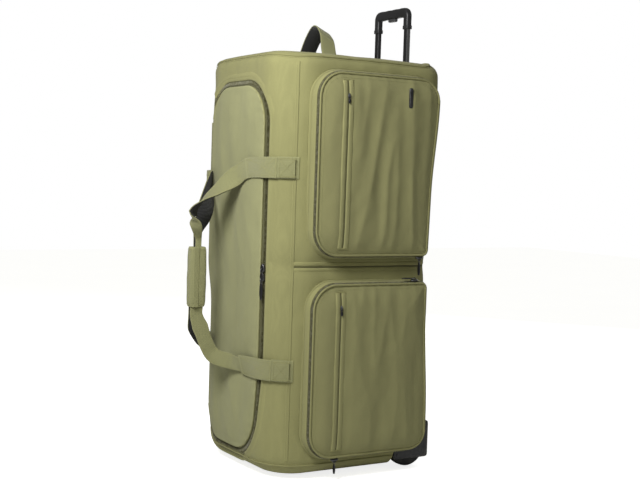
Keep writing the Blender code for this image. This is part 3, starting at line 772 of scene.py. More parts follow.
def open_for_wheels(shell):
    """Cuts the case's cloth away round each wheel housing."""
    gap, corner = 0.0006, 0.006
    far_out, far_back, far_below = 0.3, 0.4, -0.1
    for side, tag in SIDES:
        low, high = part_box("wheel_housing_" + tag)
        near, far = sorted((side * (min(abs(low.x), abs(high.x)) - gap), side * far_out))
        flat = outline((low.y - gap, far_back, far_below, high.z + gap), (corner,) * 4, 80)
        cut_away(shell, helper_prism(flat, lambda a, b, c: (c, a, b), near, far))


def build_case():
    """The cloth shell, cut open for the lid and the wheels."""
    around, rows = 232, case_rows()
    verts = [point for row in rows for point in case_ring(row, around)]
    shell = piece("case_cloth", verts, tube_faces(len(rows), around), [MATS["canvas"]], "case", "canvas")
    outer = tree_of(shell)
    solidify(shell, 0.0045, -1.0, MATS["lining"])
    open_for_lid(shell)
    open_for_wheels(shell)
    shell.data.shade_smooth()
    shell.data.set_sharp_from_angle(angle=math.radians(45))
    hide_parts("main_shell")
    return outer


def build_rim_piping(outer):
    """Corded seams where the end panels meet the walls, and their stitches."""
    stitches = Bits()
    ring = case_outline(420, -0.004)
    points = [Vector((p.x, p.y, Z_HIGH - 0.006 + crown(p))) for p in ring]
    track = laid_on(outer, points, 0.0006)
    cord("piping_top", track, closed=True)
    stitches.stitches(track, 0.0048, 0.0002)
    low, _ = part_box("wheel_housing_right")
    ring = case_outline(420, -0.005)
    points = [Vector((p.x, p.y, Z_LOW + 0.016)) for p in ring if p.y <= low.y - 0.002 or abs(p.x) <= 0.120]
    for index, run in enumerate(split_runs(laid_on(outer, points, 0.0006), 0.02)):
        cord("piping_bottom_%d" % index, run)
        stitches.stitches(run, -0.0048, 0.0002)
    stitches.build("rim_stitches", MATS["thread"], "case", "canvas")


def split_runs(track, jump):
    """Parts of a track between its gaps."""
    runs, current = [], [track[0]]
    for item in track[1:]:
        if (item[0] - current[-1][0]).length > jump:
            runs.append(current)
            current = []
        current.append(item)
    runs.append(current)
    if len(runs) > 1 and (runs[0][0][0] - runs[-1][-1][0]).length < jump:
        runs[0] = runs.pop() + runs[0]
    return [run for run in runs if len(run) > 3]


def build_seams(outer):
    """Upright seams on the front corners, and the waist seams between the pockets."""
    stitches = Bits()
    for side, tag in SIDES:
        x = side * side_base(SEAM_Y)
        points = [Vector((x, SEAM_Y, z)) for z in steps_between(Z_LOW + 0.024, Z_HIGH - 0.016, 0.006)]
        track = laid_on(outer, points)
        sweep("corner_seam_" + tag, track, band_profile(0.0060, 0.0007), MATS["canvas"], "case", "canvas")
        sweep("corner_cord_" + tag, shifted(track, side * 0.0030, 0.0002), round_profile(0.0011, 8),
              MATS["piping"], "case", "canvas")
        stitches.stitches(track, side * -0.0014, 0.0008)
        ys = steps_between(SEAM_Y + 0.002, BACK - 0.012, 0.006)
        track = laid_on(outer, [Vector((side * (side_base(y) + 0.002), y, WAIST_Z)) for y in ys])
        for offset in (-0.0055, 0.0055):
            lip = shifted(track, offset, 0.0002)
            sweep("waist_lip_%s_%d" % (tag, offset > 0), lip, round_profile(0.0040, 10, 0.42),
                  MATS["canvas"], "case", "canvas")
            stitches.stitches(lip, offset * 0.35, 0.0015)
        # painted shade: a strip of the dark zip-tape cloth laid along the waist seam's groove
        sweep("waist_groove_" + tag, track, band_profile(0.0030, 0.0006), MATS["tape"], "case", "canvas")
    stitches.build("seam_stitches", MATS["thread"], "case", "canvas")


# ---------------------------------------------------------------- lid
def rounded_place(u, v, box, radii):
    """Maps the square -1..1 onto a rounded rectangle, and gives the distance to its edge."""
    half_a, half_b = (box[1] - box[0]) / 2, (box[3] - box[2]) / 2
    radius = radii[(0 if v < 0 else 1) if u > 0 else (3 if v < 0 else 2)]
    a, b = abs(u) * half_a, abs(v) * half_b
    p, q = (a - half_a + radius) / radius, (b - half_b + radius) / radius
    if p > 0.0 and q > 0.0:
        scale = max(p, q) / math.hypot(p, q)
        a, b = half_a - radius + radius * p * scale, half_b - radius + radius * q * scale
    p, q = a - half_a + radius, b - half_b + radius
    inside = radius - math.hypot(max(p, 0.0), max(q, 0.0)) - min(max(p, q), 0.0)
    place_a = (box[0] + box[1]) / 2 + math.copysign(a, u)
    place_b = (box[2] + box[3]) / 2 + math.copysign(b, v)
    return place_a, place_b, max(0.0, inside)


def puff(distance, reach, power=2.4):
    """Rises steeply from a seam and levels off like stuffed cloth."""
    return 1.0 - (1.0 - clamp(distance / reach)) ** power


def eased(count):
    """Grid stops from -1 to 1, closer together near the ends."""
    even = [2.0 * k / (count - 1) - 1.0 for k in range(count)]
    return [math.sin(math.pi / 2 * t) * 0.55 + t * 0.45 for t in even]


def lid_relief(x, z, inside):
    """How far the lid's stuffed cloth stands out, at a distance inside its edge."""
    pressed = sum(bell(z, height, 0.030) for height in ANCHORS[1])
    swell = (0.0048 - 0.0022 * pressed * clamp(x / 0.05)) * puff(inside, 0.060)
    broad = 0.0024 * ripple((x * 1.4, 0.0, z * 0.55), 16.0, 1.3)
    upright = 0.0012 * math.sin(x * 70.0 + 3.0 * ripple((x, 0.0, z), 4.0, 5.0)) * clamp((0.25 - z) / 0.2)
    fine = 0.0006 * ripple((x, 0.0, z), 55.0, 9.0)
    slant = 0.0022 * (1.0 - 3.0 * abs(ripple((x + z * 0.5, 0.0, (z - x) * 0.3), 15.0, 12.0)))
    slant *= bell(z, 0.50, 0.09) + 0.7 * bell(z, 0.14, 0.08)
    pucker = 0.0006 * math.sin(z * 330.0) * math.exp(-inside / 0.010)
    relief = swell + puff(inside, 0.030) * (broad + upright + fine + slant) + pucker
    by_hinge = ramp(x - LID_LOW.x, 0.0, 0.06)
    return relief * by_hinge - 0.001 * (1 - by_hinge)


def build_lid():
    """The zip-round front panel: stuffed cloth, corded edge and stitches."""
    columns, lines = eased(64), eased(150)
    box, verts = lid_box(-0.0015), []
    for v in lines:
        for u in columns:
            x, z, inside = rounded_place(u, v, box, (LID_R,) * 4)
            point, _ = front_point(draw_in(x, z), z, lid_relief(x, z, inside))
            verts.append(point)
    faces = grid_faces(len(lines), len(columns))
    lid = piece("lid_cloth", verts, faces, [MATS["lid"]], "lid", "canvas")
    outer = tree_of(lid)
    solidify(lid, 0.0035, 1.0, MATS["lining"])
    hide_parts("main_lid")
    cord("lid_piping", zip_path(-0.0030, 0.0012), "lid", 0.0023)
    track = laid_on(outer, [p for p, _ in zip_path(-0.0095, 0.003)])
    stitch_row("lid_stitches", [(p, n if n.y < 0 else -n) for p, n in track], 0.0004, "lid")


def build_main_zip():
    """Tape, coil and the case's hem beside it."""
    tape = zip_path(COIL_OUT, -0.0022)
    sweep("zip_tape", tape, band_profile(0.0190, 0.0012, 0.3), MATS["tape"], "case", "canvas")
    teeth = Bits()
    teeth.teeth(zip_path(COIL_OUT, -0.0010), 0.0026, 0.0021, 0.0020)
    coil = teeth.build("zip_teeth", MATS["coil"], "case", "zip_coil")
    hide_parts("main_zip")
    middle = HEM_OUT + 0.0025
    profile = ((-0.0065, -0.0012), (0.0075, -0.0012), (0.0080, 0.0002), (0.0060, 0.0010),
               (-0.0030, 0.0018), (-0.0060, 0.0016), (-0.0072, 0.0002))
    sweep("zip_hem", zip_path(middle, -0.0004), profile, MATS["canvas"], "case", "canvas")
    stitch_row("hem_stitches", zip_path(middle, 0.0), 0.0015)


def build_lid_hinge():
    """Strip of cloth along the line where the lid joins the case, dipping a little at the joint."""
    x, half, bend = LID_LOW.x, 0.014, 0.005
    across = steps_between(x - half, x + half, 0.0024)
    heights = steps_between(LID_LOW.z + LID_R * 0.92, LID_HIGH.z - LID_R * 0.92, 0.008)
    verts = [front_point(a, z, 0.0006 - 0.0020 * bell(a, x, 0.012))[0] for z in heights for a in across]
    faces = grid_faces(len(heights), len(across))
    strip = piece("lid_hinge_strip", verts, faces, [MATS["canvas"]], None, "canvas")
    solidify(strip, 0.0012, 1.0)
    edge_y = front_point(x, MID_Z)[0].y
    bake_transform(strip)


# ---------------------------------------------------------------- pockets
ZIP_X, TAPE_X, EDGE_X = 0.1925, 0.1945, 0.1975  # gusset's outer edge, zip tape and the flap's edge
OUTSIDE_X = 0.206                         # a plane just off the flap's cloth
POCKET_AROUND = 220                       # points round a pocket's wall
RADII = {"upper": (0.012, 0.044, 0.050, 0.050), "lower": (0.035, 0.012, 0.050, 0.050)}
BASE_OUT, CORD_IN = 0.0020, 0.0030        # pocket's base piping and its flap's corded edge
SLASH_IN = 0.058                          # covered zip, back from the pocket's front edge


def pocket_box(tag, level):
    """A pocket's lowest and highest y, then z."""
    low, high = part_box("pocket_flap_%s_%s" % (tag, level))
    return low.y, high.y, low.z, high.z


def settled(box, level, place):
    """The pockets' back edges lean out at the upper one's top and the lower one's bottom."""
    across = clamp((place.x - box[0]) / (box[1] - box[0]))
    rise = (place.y - box[2]) / (box[3] - box[2])
    lean = 0.009 * rise - 0.005 + 0.009 * ramp(rise, 0.35, 0.85)
    if level == "lower":
        lean = 0.0085 * ramp(1.0 - rise, 0.2, 0.8)
    return Vector((place.x + across**2 * lean, place.y))


def pocket_ring(box, level, grow, count=POCKET_AROUND):
    return [settled(box, level, p) for p in outline(box, RADII[level], count, grow)]


def flap_relief(y, z, inside, box, level, side):
    """Height of the flap's stuffed cloth above its edge."""
    across = (y - box[0]) / (box[1] - box[0])
    rise = (z - box[2]) / (box[3] - box[2])
    slashed = bell(y, slash_y(box), 0.030)
    fullness = rise if level == "upper" else (1.0 - rise) * (1.0 - slashed) - 0.25 * slashed
    crown = 0.0095 * puff(inside, 0.055) * (0.85 + 0.25 * fullness)
    seed = 4.0 + side + (3.0 if level == "upper" else 0.0)
    drift = 0.010 * ripple((0.0, y, z), 6.0, seed)
    crease = 1.0 - abs(ripple((0.0, y + drift, z * 0.13), 24.0, seed)) * 3.0
    folds = 0.0030 * max(-0.2, crease) * ramp(across, 0.22, 0.36) * ramp(1.0 - across, 0.03, 0.14)
    folds *= 0.45 + 0.55 * ramp(ripple((0.0, y * 0.4, z * 0.5), 9.0, seed + 2.0), -0.4, 0.3)
    broad = 0.0020 * ripple((0.0, y * 1.5, z * 0.45), 18.0, 2.0 * side + (level == "upper"))
    broad *= 1.0 - 0.8 * bell(y, slash_y(box), 0.020)
    fine = 0.0007 * ripple((0.0, y, z * 0.8), 55.0, 6.0)
    pucker = 0.0005 * math.sin((y + z) * 330.0) * math.exp(-inside / 0.009)
    slash = -0.0012 * bell(y, slash_y(box), 0.010) * clamp(inside / 0.03)
    return crown + puff(inside, 0.03) * (folds + broad + fine) + pucker + slash


def slash_y(box):
    """Where a pocket's covered zip runs."""
    return box[0] + SLASH_IN


def gusset_verts(box, level, side):
    """Rings of a pocket's wall, from the case out to the zip."""
    profile = ((BASE_OUT + 0.0030, -0.0010), (BASE_OUT + 0.0024, 0.04), (BASE_OUT, 0.06), (0.0024, 0.22),
               (0.0026, 0.42), (0.0020, 0.62), (0.0012, 0.82), (0.0002, 0.97), (-0.0004, 1.0))
    verts = []
    for grow, share in profile:
        for p in pocket_ring(box, level, grow):
            base = side_base(p.x) + 0.0012
            wave = 0.0009 * ripple((0.0, p.x, p.y), 40.0, 3.0 + side) * math.sin(math.pi * clamp(share))
            x = base + (ZIP_X - base) * share + wave
            verts.append(Vector((side * x, p.x, p.y)))
    return verts


def build_gusset(side, tag, level):
    """Cloth wall of a pocket between the case and its zip, with its piping, tape and teeth."""
    box, name = pocket_box(tag, level), "%s_%s" % (tag, level)
    verts = gusset_verts(box, level, side)
    faces = grid_faces(len(verts) // POCKET_AROUND, POCKET_AROUND, closed=True)
    wall = piece("pocket_gusset_" + name, verts, faces, [MATS["canvas"]], "case", "canvas")
    solidify(wall, 0.0016, -1.0, MATS["lining"])
    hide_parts("pocket_frame_" + name)
    ring = pocket_ring(box, level, BASE_OUT, 300)
    base = [(Vector((side * (side_base(p.x) + 0.0022), p.x, p.y)), Vector((side, 0.0, 0.0))) for p in ring]
    cord("pocket_piping_" + name, base, closed=True)
    track = pocket_u(box, level, BASE_OUT + 0.0048, lambda y: side_base(y) + 0.0010, side)
    stitch_row("pocket_base_stitches_" + name, track, 0.0004)
    tape = pocket_u(box, level, -0.0012, lambda y: TAPE_X, side, slope=True)
    sweep("pocket_tape_" + name, tape, band_profile(0.0075, 0.0010, 0.3, -0.0012),
          MATS["tape"], "case", "canvas")
    teeth = Bits()
    teeth.teeth(tape, 0.0020, 0.0021, 0.0015)
    teeth.build("pocket_teeth_" + name, MATS["coil"], "case", "zip_coil")


def pocket_u(box, level, grow, height, side, slope=False):
    """Track round a pocket's zip, from its hinge edge's low end to its high end."""
    a0, a1, b0, b1 = box[0] - grow, box[1] + grow, box[2] - grow, box[3] + grow
    back_low, back_high, front_high, front_low = (max(0.002, r + grow) for r in RADII[level])
    corners = [Vector(c) for c in ((a1, b0 + back_low + 0.003), (a1, b0), (a0, b0), (a0, b1), (a1, b1),
                                   (a1, b1 - back_high - 0.003))]
    flat = spaced(filleted(corners, [back_low, front_low, front_high, back_high]), step=0.004)
    flat = [settled(box, level, p) for p in flat]
    track = []
    for i, p in enumerate(flat):
        along = direction(flat, i)
        normal = Vector((side, 0.0, 0.0))
        if slope:
            out = Vector((0.0, along.y, -along.x))
            normal = (normal + (-out if points_inward(out, p, box) else out)).normalized()
        track.append((Vector((side * height(p.x), p.x, p.y)), normal))
    return track


def points_inward(out, p, box):
    """Whether a direction at a place on the pocket's edge points to the pocket's middle."""
    centre = Vector((0.0, (box[0] + box[1]) / 2, (box[2] + box[3]) / 2))
    return out.dot(Vector((0.0, p.x, p.y)) - centre) < 0.0


def flap_cloth(side, level, box, name, body):
    """The flap's stuffed cloth; gives back the tree of its outer face."""
    inner = (box[0] + CORD_IN, box[1] - 0.0010, box[2] + CORD_IN, box[3] - CORD_IN)
    columns, lines = eased(84), eased(100)
    radii, verts = [max(0.004, r - CORD_IN) for r in RADII[level]], []
    for v in lines:
        for u in columns:
            y, z, inside = rounded_place(u, v, inner, radii)
            x = side * (EDGE_X + flap_relief(y, z, inside, box, level, side))
            place = settled(box, level, Vector((y, z)))
            verts.append(Vector((x, place.x, place.y)))
    faces = grid_faces(len(lines), len(columns))
    flap = piece("flap_cloth_" + name, verts, faces, [MATS["panel"]], body, "canvas")
    outer = tree_of(flap)
    solidify(flap, 0.0030, -1.0, MATS["lining"])
    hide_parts("pocket_flap_" + name)
    return outer


def build_slash_zip(side, box, name, body, outer, stitches):
    """Covered zip: two lips of cloth over a dark gap, and bartacks at its ends."""
    y, end_in = slash_y(box), 0.016
    heights = steps_between(box[2] + end_in, box[3] - end_in, 0.005)
    track = outward(laid_on(outer, [Vector((side * OUTSIDE_X, y, z)) for z in heights]), side)
    for k, offset in enumerate((-0.0062, 0.0062)):
        lip = shifted(track, offset, 0.0004)
        sweep("slash_lip_%s_%d" % (name, k), lip, round_profile(0.0052, 12, 0.34),
              MATS["panel"], body, "canvas")
        stitches.stitches(lip, math.copysign(0.0028, offset), 0.0015)
    sweep("slash_gap_" + name, shifted(track, 0.0, -0.0002), band_profile(0.0040, 0.0008),
          MATS["tape"], body, "canvas")
    stitches.build("flap_stitches_" + name, MATS["thread"], body, "canvas")
    bars = Bits()
    for z in (heights[0] - 0.001, heights[-1] + 0.001):
        points = [Vector((side * OUTSIDE_X, y + d, z)) for d in steps_between(-0.011, 0.011, 0.003)]
        span = outward(laid_on(outer, points), side)
        for row in (-0.0008, 0.0, 0.0008):
            bars.stitches(span, row, 0.0012, 0.0026, 0.0020, 0.0005)
    bars.build("slash_bartacks_" + name, MATS["thread"], body, "canvas")


def build_flap(side, tag, level):
    """The pocket's front panel with its corded edge and covered slash zip."""
    box = pocket_box(tag, level)
    name, body = "%s_%s" % (tag, level), "flap_%s_%s" % (tag, level)
    outer = flap_cloth(side, level, box, name, body)
    edge = pocket_u(box, level, -CORD_IN, lambda y: EDGE_X + 0.0012, side)
    cord("flap_piping_" + name, edge, body)
    stitches = Bits()
    points = [p for p, _ in pocket_u(box, level, -0.0105, lambda y: EDGE_X + 0.006, side)]
    stitches.stitches(outward(laid_on(outer, points), side), 0.0, 0.0004)
    build_slash_zip(side, box, name, body, outer, stitches)
    build_flap_hinge(side, box, level, name)
    return outer


def outward(track, side):
    """The same track with every normal pointing away from the case."""
    return [(p, n if n.x * side > 0 else -n) for p, n in track]


def build_flap_hinge(side, box, level, name):
    """Strip of cloth that turns in from the flap's edge towards the pocket's wall, along the line where the
    flap joins the pocket's back edge.
    """
    path = ((-0.0060, EDGE_X + 0.0018), (-0.0030, EDGE_X + 0.0010), (0.0, EDGE_X), (0.0020, ZIP_X + 0.002),
            (0.0030, ZIP_X - 0.002), (0.0035, ZIP_X - 0.006))
    low, high = box[2] + RADII[level][0] * 0.9, box[3] - RADII[level][1] * 0.9
    heights, verts = steps_between(low, high, 0.008), []
    for z in heights:
        back = settled(box, level, Vector((box[1], z))).x
        verts += [Vector((side * x, back + dy, z)) for dy, x in path]
    faces = grid_faces(len(heights), len(path))
    strip = piece("flap_hinge_" + name, verts, faces, [MATS["canvas"]], None, "canvas")
    solidify(strip, 0.0012, 0.0)
    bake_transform(strip)


# ---------------------------------------------------------------- carry handles
SEWN_X = (0.162, 0.156, 0.150, 0.140, 0.128, 0.113)  # where a strap lies flat, from its sewn end inwards
ANCHORS = {1: (0.580, 0.206), -1: (0.553, 0.222)}  # heights of each side's sewn ends
WRAP_LOW, WRAP_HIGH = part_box("grip_wrap")
WRAP_R = 0.0062                           # rounding of the wrap's section
STRAP_W, STRAP_LIFT = 0.038, 0.0056       # webbing's width, and its middle's lift off the case
STRAP_X = 0.0032                          # each strap's offset inside the wrap
# Loose stretches of webbing: (x, stand-off from the front, height, direction of the width).
RIGHT_ABOVE = ((0.060, 0.0098, 0.577, (0.0, 0.0, 1.0)), (0.034, 0.0200, 0.562, (-0.2, 0.0, 1.0)),
               (0.022, 0.0480, 0.537, (-0.7, 0.35, 0.6)), (0.019, 0.0790, 0.513, (-0.8, 0.60, 0.2)),
               (0.020, 0.0990, 0.490, (-0.6, 0.80, 0.0)), (0.021, 0.0930, 0.467, (-0.9, -0.8, 0.0)))
RIGHT_BELOW = ((0.060, 0.0100, 0.206, (0.0, 0.3, -1.0)), (0.032, 0.0190, 0.208, (0.0, 0.0, -1.0)),
               (0.013, 0.0450, 0.217, (0.0, -0.6, -0.8)), (0.009, 0.0600, 0.240, (0.0, -0.95, -0.3)),
               (0.006, 0.0700, 0.267, (0.0, -1.0, -0.1)))
LEFT_ABOVE = ((0.085, 0.0135, 0.547, (0.0, -0.1, 1.0)), (0.052, 0.0340, 0.518, (0.0, -0.6, 0.8)),
              (0.026, 0.0560, 0.485, (0.0, -0.85, 0.5)), (0.012, 0.0720, 0.462, (0.0, -1.0, 0.1)))
LEFT_BELOW = ((0.085, 0.0125, 0.224, (0.0, 0.0, -1.0)), (0.050, 0.0320, 0.234, (0.0, -0.5, -0.85)),
              (0.024, 0.0560, 0.249, (0.0, -0.9, -0.4)), (0.009, 0.0740, 0.271, (0.0, -1.0, -0.1)))
LOOSE = {"right": (RIGHT_ABOVE, RIGHT_BELOW), "left": (LEFT_ABOVE, LEFT_BELOW)}


def half_strap(side, height, up, loose):
    """Places and width directions from the sewn anchor to the wrap."""
    flat = [front_point(side * x, height, STRAP_LIFT)[0] for x in SEWN_X]
    flat.append(Vector((side * 0.098, FRONT - STRAP_LIFT - 0.0004, height)))
    rows = [(point, Vector((0.0, 0.0, up))) for point in flat]
    for x, out, z, w in loose:
        rows.append((Vector((side * x, FRONT - out, z)), Vector((side * w[0], w[1], w[2]))))
    return rows


def strap_track(side, tag):
    """Centre line and face direction of one carry strap, anchor to anchor."""
    above, below = LOOSE[tag]
    out, beyond = (WRAP_LOW.y + WRAP_HIGH.y) / 2, 0.018
    top, run = WRAP_HIGH.z + beyond, WRAP_HIGH.z - WRAP_LOW.z + 2 * beyond
    rows = half_strap(side, ANCHORS[side][0], 1.0, above)
    rows += [(Vector((side * STRAP_X, out, top - run * k / 7)), Vector((0.0, -1.0, 0.0))) for k in range(8)]
    return loop_track(rows + half_strap(side, ANCHORS[side][1], -1.0, below)[::-1])


def gathered(track):
    """Share of the webbing's width kept at each place: it's crumpled together at the wrap."""
    shares = []
    for point, _ in track:
        away = max(point.z - WRAP_HIGH.z, WRAP_LOW.z - point.z, 0.0)
        reach = 0.075 if point.z > WRAP_LOW.z else 0.060
        held = 0.32 if point.z > WRAP_LOW.z + 0.02 else 0.68
        near = ramp(FRONT - point.y, 0.02, 0.05)
        tilted = 0.22 * ramp(0.30 - point.z, 0.0, 0.05) * ramp(0.148 - abs(point.x), 0.0, 0.03)
        shares.append(1.0 - max((1.0 - held) * (1.0 - ramp(away, 0.010, reach)) * near, tilted))
    return shares


def build_strap(side, tag):
    """One webbing loop, olive outside and black inside, sewn down at the corner seam."""
    track = strap_track(side, tag)
    shares, stitches = gathered(track), Bits()
    for rail in (-0.0155, 0.0155):
        row = []
        for (point, _, across, out), share in zip(frames(track), shares):
            row.append((point + across * rail * share + out * side * 0.0021, out))
        stitches.stitches(row, 0.0, 0.0, 0.0032, 0.0048)
    parts = []
    for name, mat, width, thick, low in (("face", "webbing", STRAP_W, 0.0019, 0.0),
                                         ("back", "webbing_black", STRAP_W - 0.001, 0.0013, -0.0013)):
        profile = [(s, side * u) for s, u in band_profile(width, thick, 0.35, low)]
        parts.append(sweep("strap_%s_%s" % (name, tag), track, profile, MATS[mat], None, "webbing",
                           shares=shares))
    for index, run in enumerate((track[18:43], track[-43:-18])):
        parts.append(build_fold("%s_%d" % (tag, index), run, side, stitches))
        build_patch("%s_%d" % (tag, index), side, ANCHORS[side][index])
    parts.append(stitches.build("strap_stitches_" + tag, MATS["thread"], None, "webbing"))
    sewn_x, free_x, mark_z = 0.158, 0.134, 0.39
    start, end = (tuple(front_point(side * x, mark_z, 0.0045)[0]) for x in (sewn_x, free_x))
    for part in parts:
        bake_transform(part)
    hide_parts("carry_strap_" + tag)


def crossed_box(x0, x1, half):
    """Lines of a sewn box with a cross in it."""
    loop = [(x0, -half), (x1, -half), (x1, half), (x0, half), (x0, -half)]
    return [loop, [(x0, -half), (x1, half)], [(x0, half), (x1, -half)]]


def build_fold(name, run, side, stitches):
    """The strap's end folded back on itself over the zip, sewn through with a cross."""
    layer = [(s, side * (u + 0.0014)) for s, u in band_profile(STRAP_W + 0.0012, 0.0016, 0.4, 0.0)]
    fold = sweep("strap_fold_" + name, run, layer, MATS["webbing"], None, "webbing")
    places, last = frames(run), len(run) - 1
    for line in crossed_box(0.05, 0.95, STRAP_W / 2 - 0.004):
        dense = []
        for i in range(41):
            share = i / 40 * (len(line) - 1)
            k = min(int(share), len(line) - 2)
            t, across = (line[k][j] + (line[k + 1][j] - line[k][j]) * (share - k) for j in (0, 1))
            point, _, over, out = places[round(t * last)]
            dense.append((point + over * across + out * side * 0.0031, out * side))
        stitches.stitches(dense, 0.0, 0.0, 0.0028, 0.0036, 0.0005)
    return fold


def build_patch(name, side, height):
    """Webbing patch sewn flat between the lid's hem and the corner seam, under the strap's end."""
    ends = [front_point(side * x, height, 0.0032) for x in steps_between(0.138, 0.1655, 0.003)]
    sweep("strap_patch_" + name, ends, band_profile(STRAP_W + 0.003, 0.0020, 0.4, -0.0022),
          MATS["webbing"], "case", "webbing")
    stitches = Bits()
    for line in crossed_box(0.1440, 0.1630, STRAP_W / 2 - 0.002):
        dense = spaced([Vector(p) for p in line], step=0.003)
        track = [front_point(side * p.x, height + p.y, STRAP_LIFT + 0.0022) for p in dense]
        stitches.stitches(track, 0.0, 0.0002, 0.0028, 0.0036, 0.0005)
    stitches.build("patch_stitches_" + name, MATS["thread"], "case", "webbing")


def wrap_verts(middle, half_x, half_y, heights, around):
    """Outer rings of the sleeve going up, then its inner rings coming down."""
    verts = []
    for layer, rows in ((1.0, heights), (-1.0, heights[::-1])):
        for z in rows:
            t = (z - WRAP_LOW.z) / (WRAP_HIGH.z - WRAP_LOW.z)
            hem = 0.0012 * math.exp(-min(t, 1 - t) / 0.03)
            swell = 0.0016 * math.sin(math.pi * t) ** 0.5 - hem
            grow = swell if layer > 0 else -0.0028
            for p in outline((-half_x, half_x, -half_y, half_y), (WRAP_R,) * 4, around, grow):
                wave = 0.0004 * ripple((p.x, p.y, z), 70.0) * (layer > 0)
                verts.append(Vector((middle.x + p.x + wave, middle.y + p.y + wave, z)))
    return verts


def build_grip_wrap():
    """Padded sleeve closed round both straps, overlapping on the near side."""
    middle, half = (WRAP_LOW + WRAP_HIGH) / 2, (WRAP_HIGH - WRAP_LOW) / 2
    half_x, half_y, around = half.x, half.y * 0.72, 56
    heights = steps_between(WRAP_LOW.z, WRAP_HIGH.z, 0.0035)
    verts = wrap_verts(middle, half_x, half_y, heights, around)
    faces = tube_faces(2 * len(heights), around, capped=False)
    wrap = piece("wrap_sleeve", verts, faces, [MATS["webbing"]], "strap_left", "webbing")
    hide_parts("grip_wrap")
    stitches = Bits()
    ring = outline((-half_x, half_x, -half_y, half_y), (WRAP_R,) * 4, 60, 0.0010)
    for z in (WRAP_LOW.z + 0.005, WRAP_HIGH.z - 0.005):
        track = [(Vector((middle.x + p.x, middle.y + p.y, z)), Vector((p.x, p.y * 0.4, 0)).normalized())
                 for p in ring]
        stitches.stitches(track, 0.0, 0.0003)
    edge = Vector((WRAP_HIGH.x + 0.0008, middle.y - half_y * 0.35, 0.0))
    flap = [(edge + UP * z, Vector((1, 0, 0))) for z in heights]
    sweep("wrap_overlap", flap, band_profile(0.0120, 0.0012, 0.4), MATS["webbing"], "strap_left", "webbing")
    stitches.stitches(flap, 0.0042, 0.0016)
    stitches.build("wrap_stitches", MATS["thread"], "strap_left", "webbing")


def build_top_handle():
    """Grab loop on top: black inner face, sewn feet."""
    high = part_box("top_handle")[1]
    y, base, width = (FRONT + BACK) / 2 + 0.002, Z_HIGH + 0.0068, 0.034
    rise, arch, peak = Z_HIGH + 0.022, Z_HIGH + 0.051, Z_HIGH + 0.068
    path = ((-0.068, base, 0.0), (-0.052, base + 0.0004, 0.0), (-0.042, rise, -0.1),
            (-0.020, arch - 0.001, -0.3), (0.006, peak, -0.45), (0.030, arch + 0.001, -0.45),
            (0.041, rise, -0.2), (0.050, base + 0.0004, 0.0), (0.066, base, 0.0))
    track = loop_track([(Vector((x, y, z)), Vector((0.0, -1.0, -lean))) for x, z, lean in path])
    loop = sweep("loop_face", track, band_profile(width, 0.0020, 0.35), MATS["webbing"], "case", "webbing")
    sweep("loop_back", track, band_profile(width - 0.001, 0.0014, 0.35, -0.0014), MATS["webbing_black"],
          "case", "webbing")
    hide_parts("top_handle")
    stitches = Bits()
    for rail in (-0.0135, 0.0135):
        stitches.stitches(track, rail, 0.0022)
    for side, _ in SIDES:
        for line in crossed_box(0.0465, high.x - 0.005, width / 2 - 0.004):
            dense = spaced([Vector(p) for p in line], step=0.003)
            run = [(Vector((side * p.x, y + p.y, base + 0.0022)), UP) for p in dense]
            stitches.stitches(run, 0.0, 0.0, 0.0026, 0.0034, 0.0005)
    stitches.build("loop_stitches", MATS["thread"], "case", "webbing")


# ---------------------------------------------------------------- zip sliders and pulls
def basis(point, along, normal):
    """Matrix whose columns are across, along and outwards at a point."""
    along, out = Vector(along).normalized(), Vector(normal).normalized()
    across = along.cross(out)
    turn = Matrix((across, along, out)).transposed().to_4x4()
    return Matrix.Translation(Vector(point)) @ turn


def rounded_plate(half_a, half_b, radius, low, high, count=28):
    """Verts and faces of a flat plate with rounded corners."""
    ring = outline((-half_a, half_a, -half_b, half_b), (radius,) * 4, count)
    verts = [Vector((p.x, p.y, h)) for h in (low, high) for p in ring]
    return verts, tube_faces(2, count)


def rounded_section(angle, half_a, half_b, power_a, power_b):
    """A place on a superellipse: a round section squared off by powers under 1."""
    c, s = math.cos(angle), math.sin(angle)
    return (half_a * math.copysign(abs(c) ** power_a, c), half_b * math.copysign(abs(s) ** power_b, s))


def slider_mesh(half, lug_at):
    """Zip slider: lower wings, domed top plate and the bridge that holds the pull."""
    bits, top, around = Bits(), [], 24
    for k in range(around):
        angle = 2 * math.pi * k / around
        narrow = 1.0 - 0.22 * math.sin(angle)
        top.append((half * math.cos(angle) * narrow, 0.0085 * math.sin(angle)))
    levels = ((0.86, 0.0012), (1.0, 0.0020), (1.0, 0.0036), (0.90, 0.0046), (0.55, 0.0052))
    verts = [Vector((a * s, b * s, h)) for s, h in levels for a, b in top]
    bits.add(verts, tube_faces(len(levels), around))
    half_bridge, steps = 0.0042, 8
    track = []
    for k in range(steps + 1):
        rise = 0.0046 + 0.0036 * math.sin(math.pi * k / steps) ** 0.7
        point = Vector((0.0, lug_at - half_bridge + 2 * half_bridge * k / steps, rise))
        track.append((point, Vector((1.0, 0.0, 0.0))))
    bits.add(*sweep_data(track, round_profile(0.0010, 8)))
    return bits


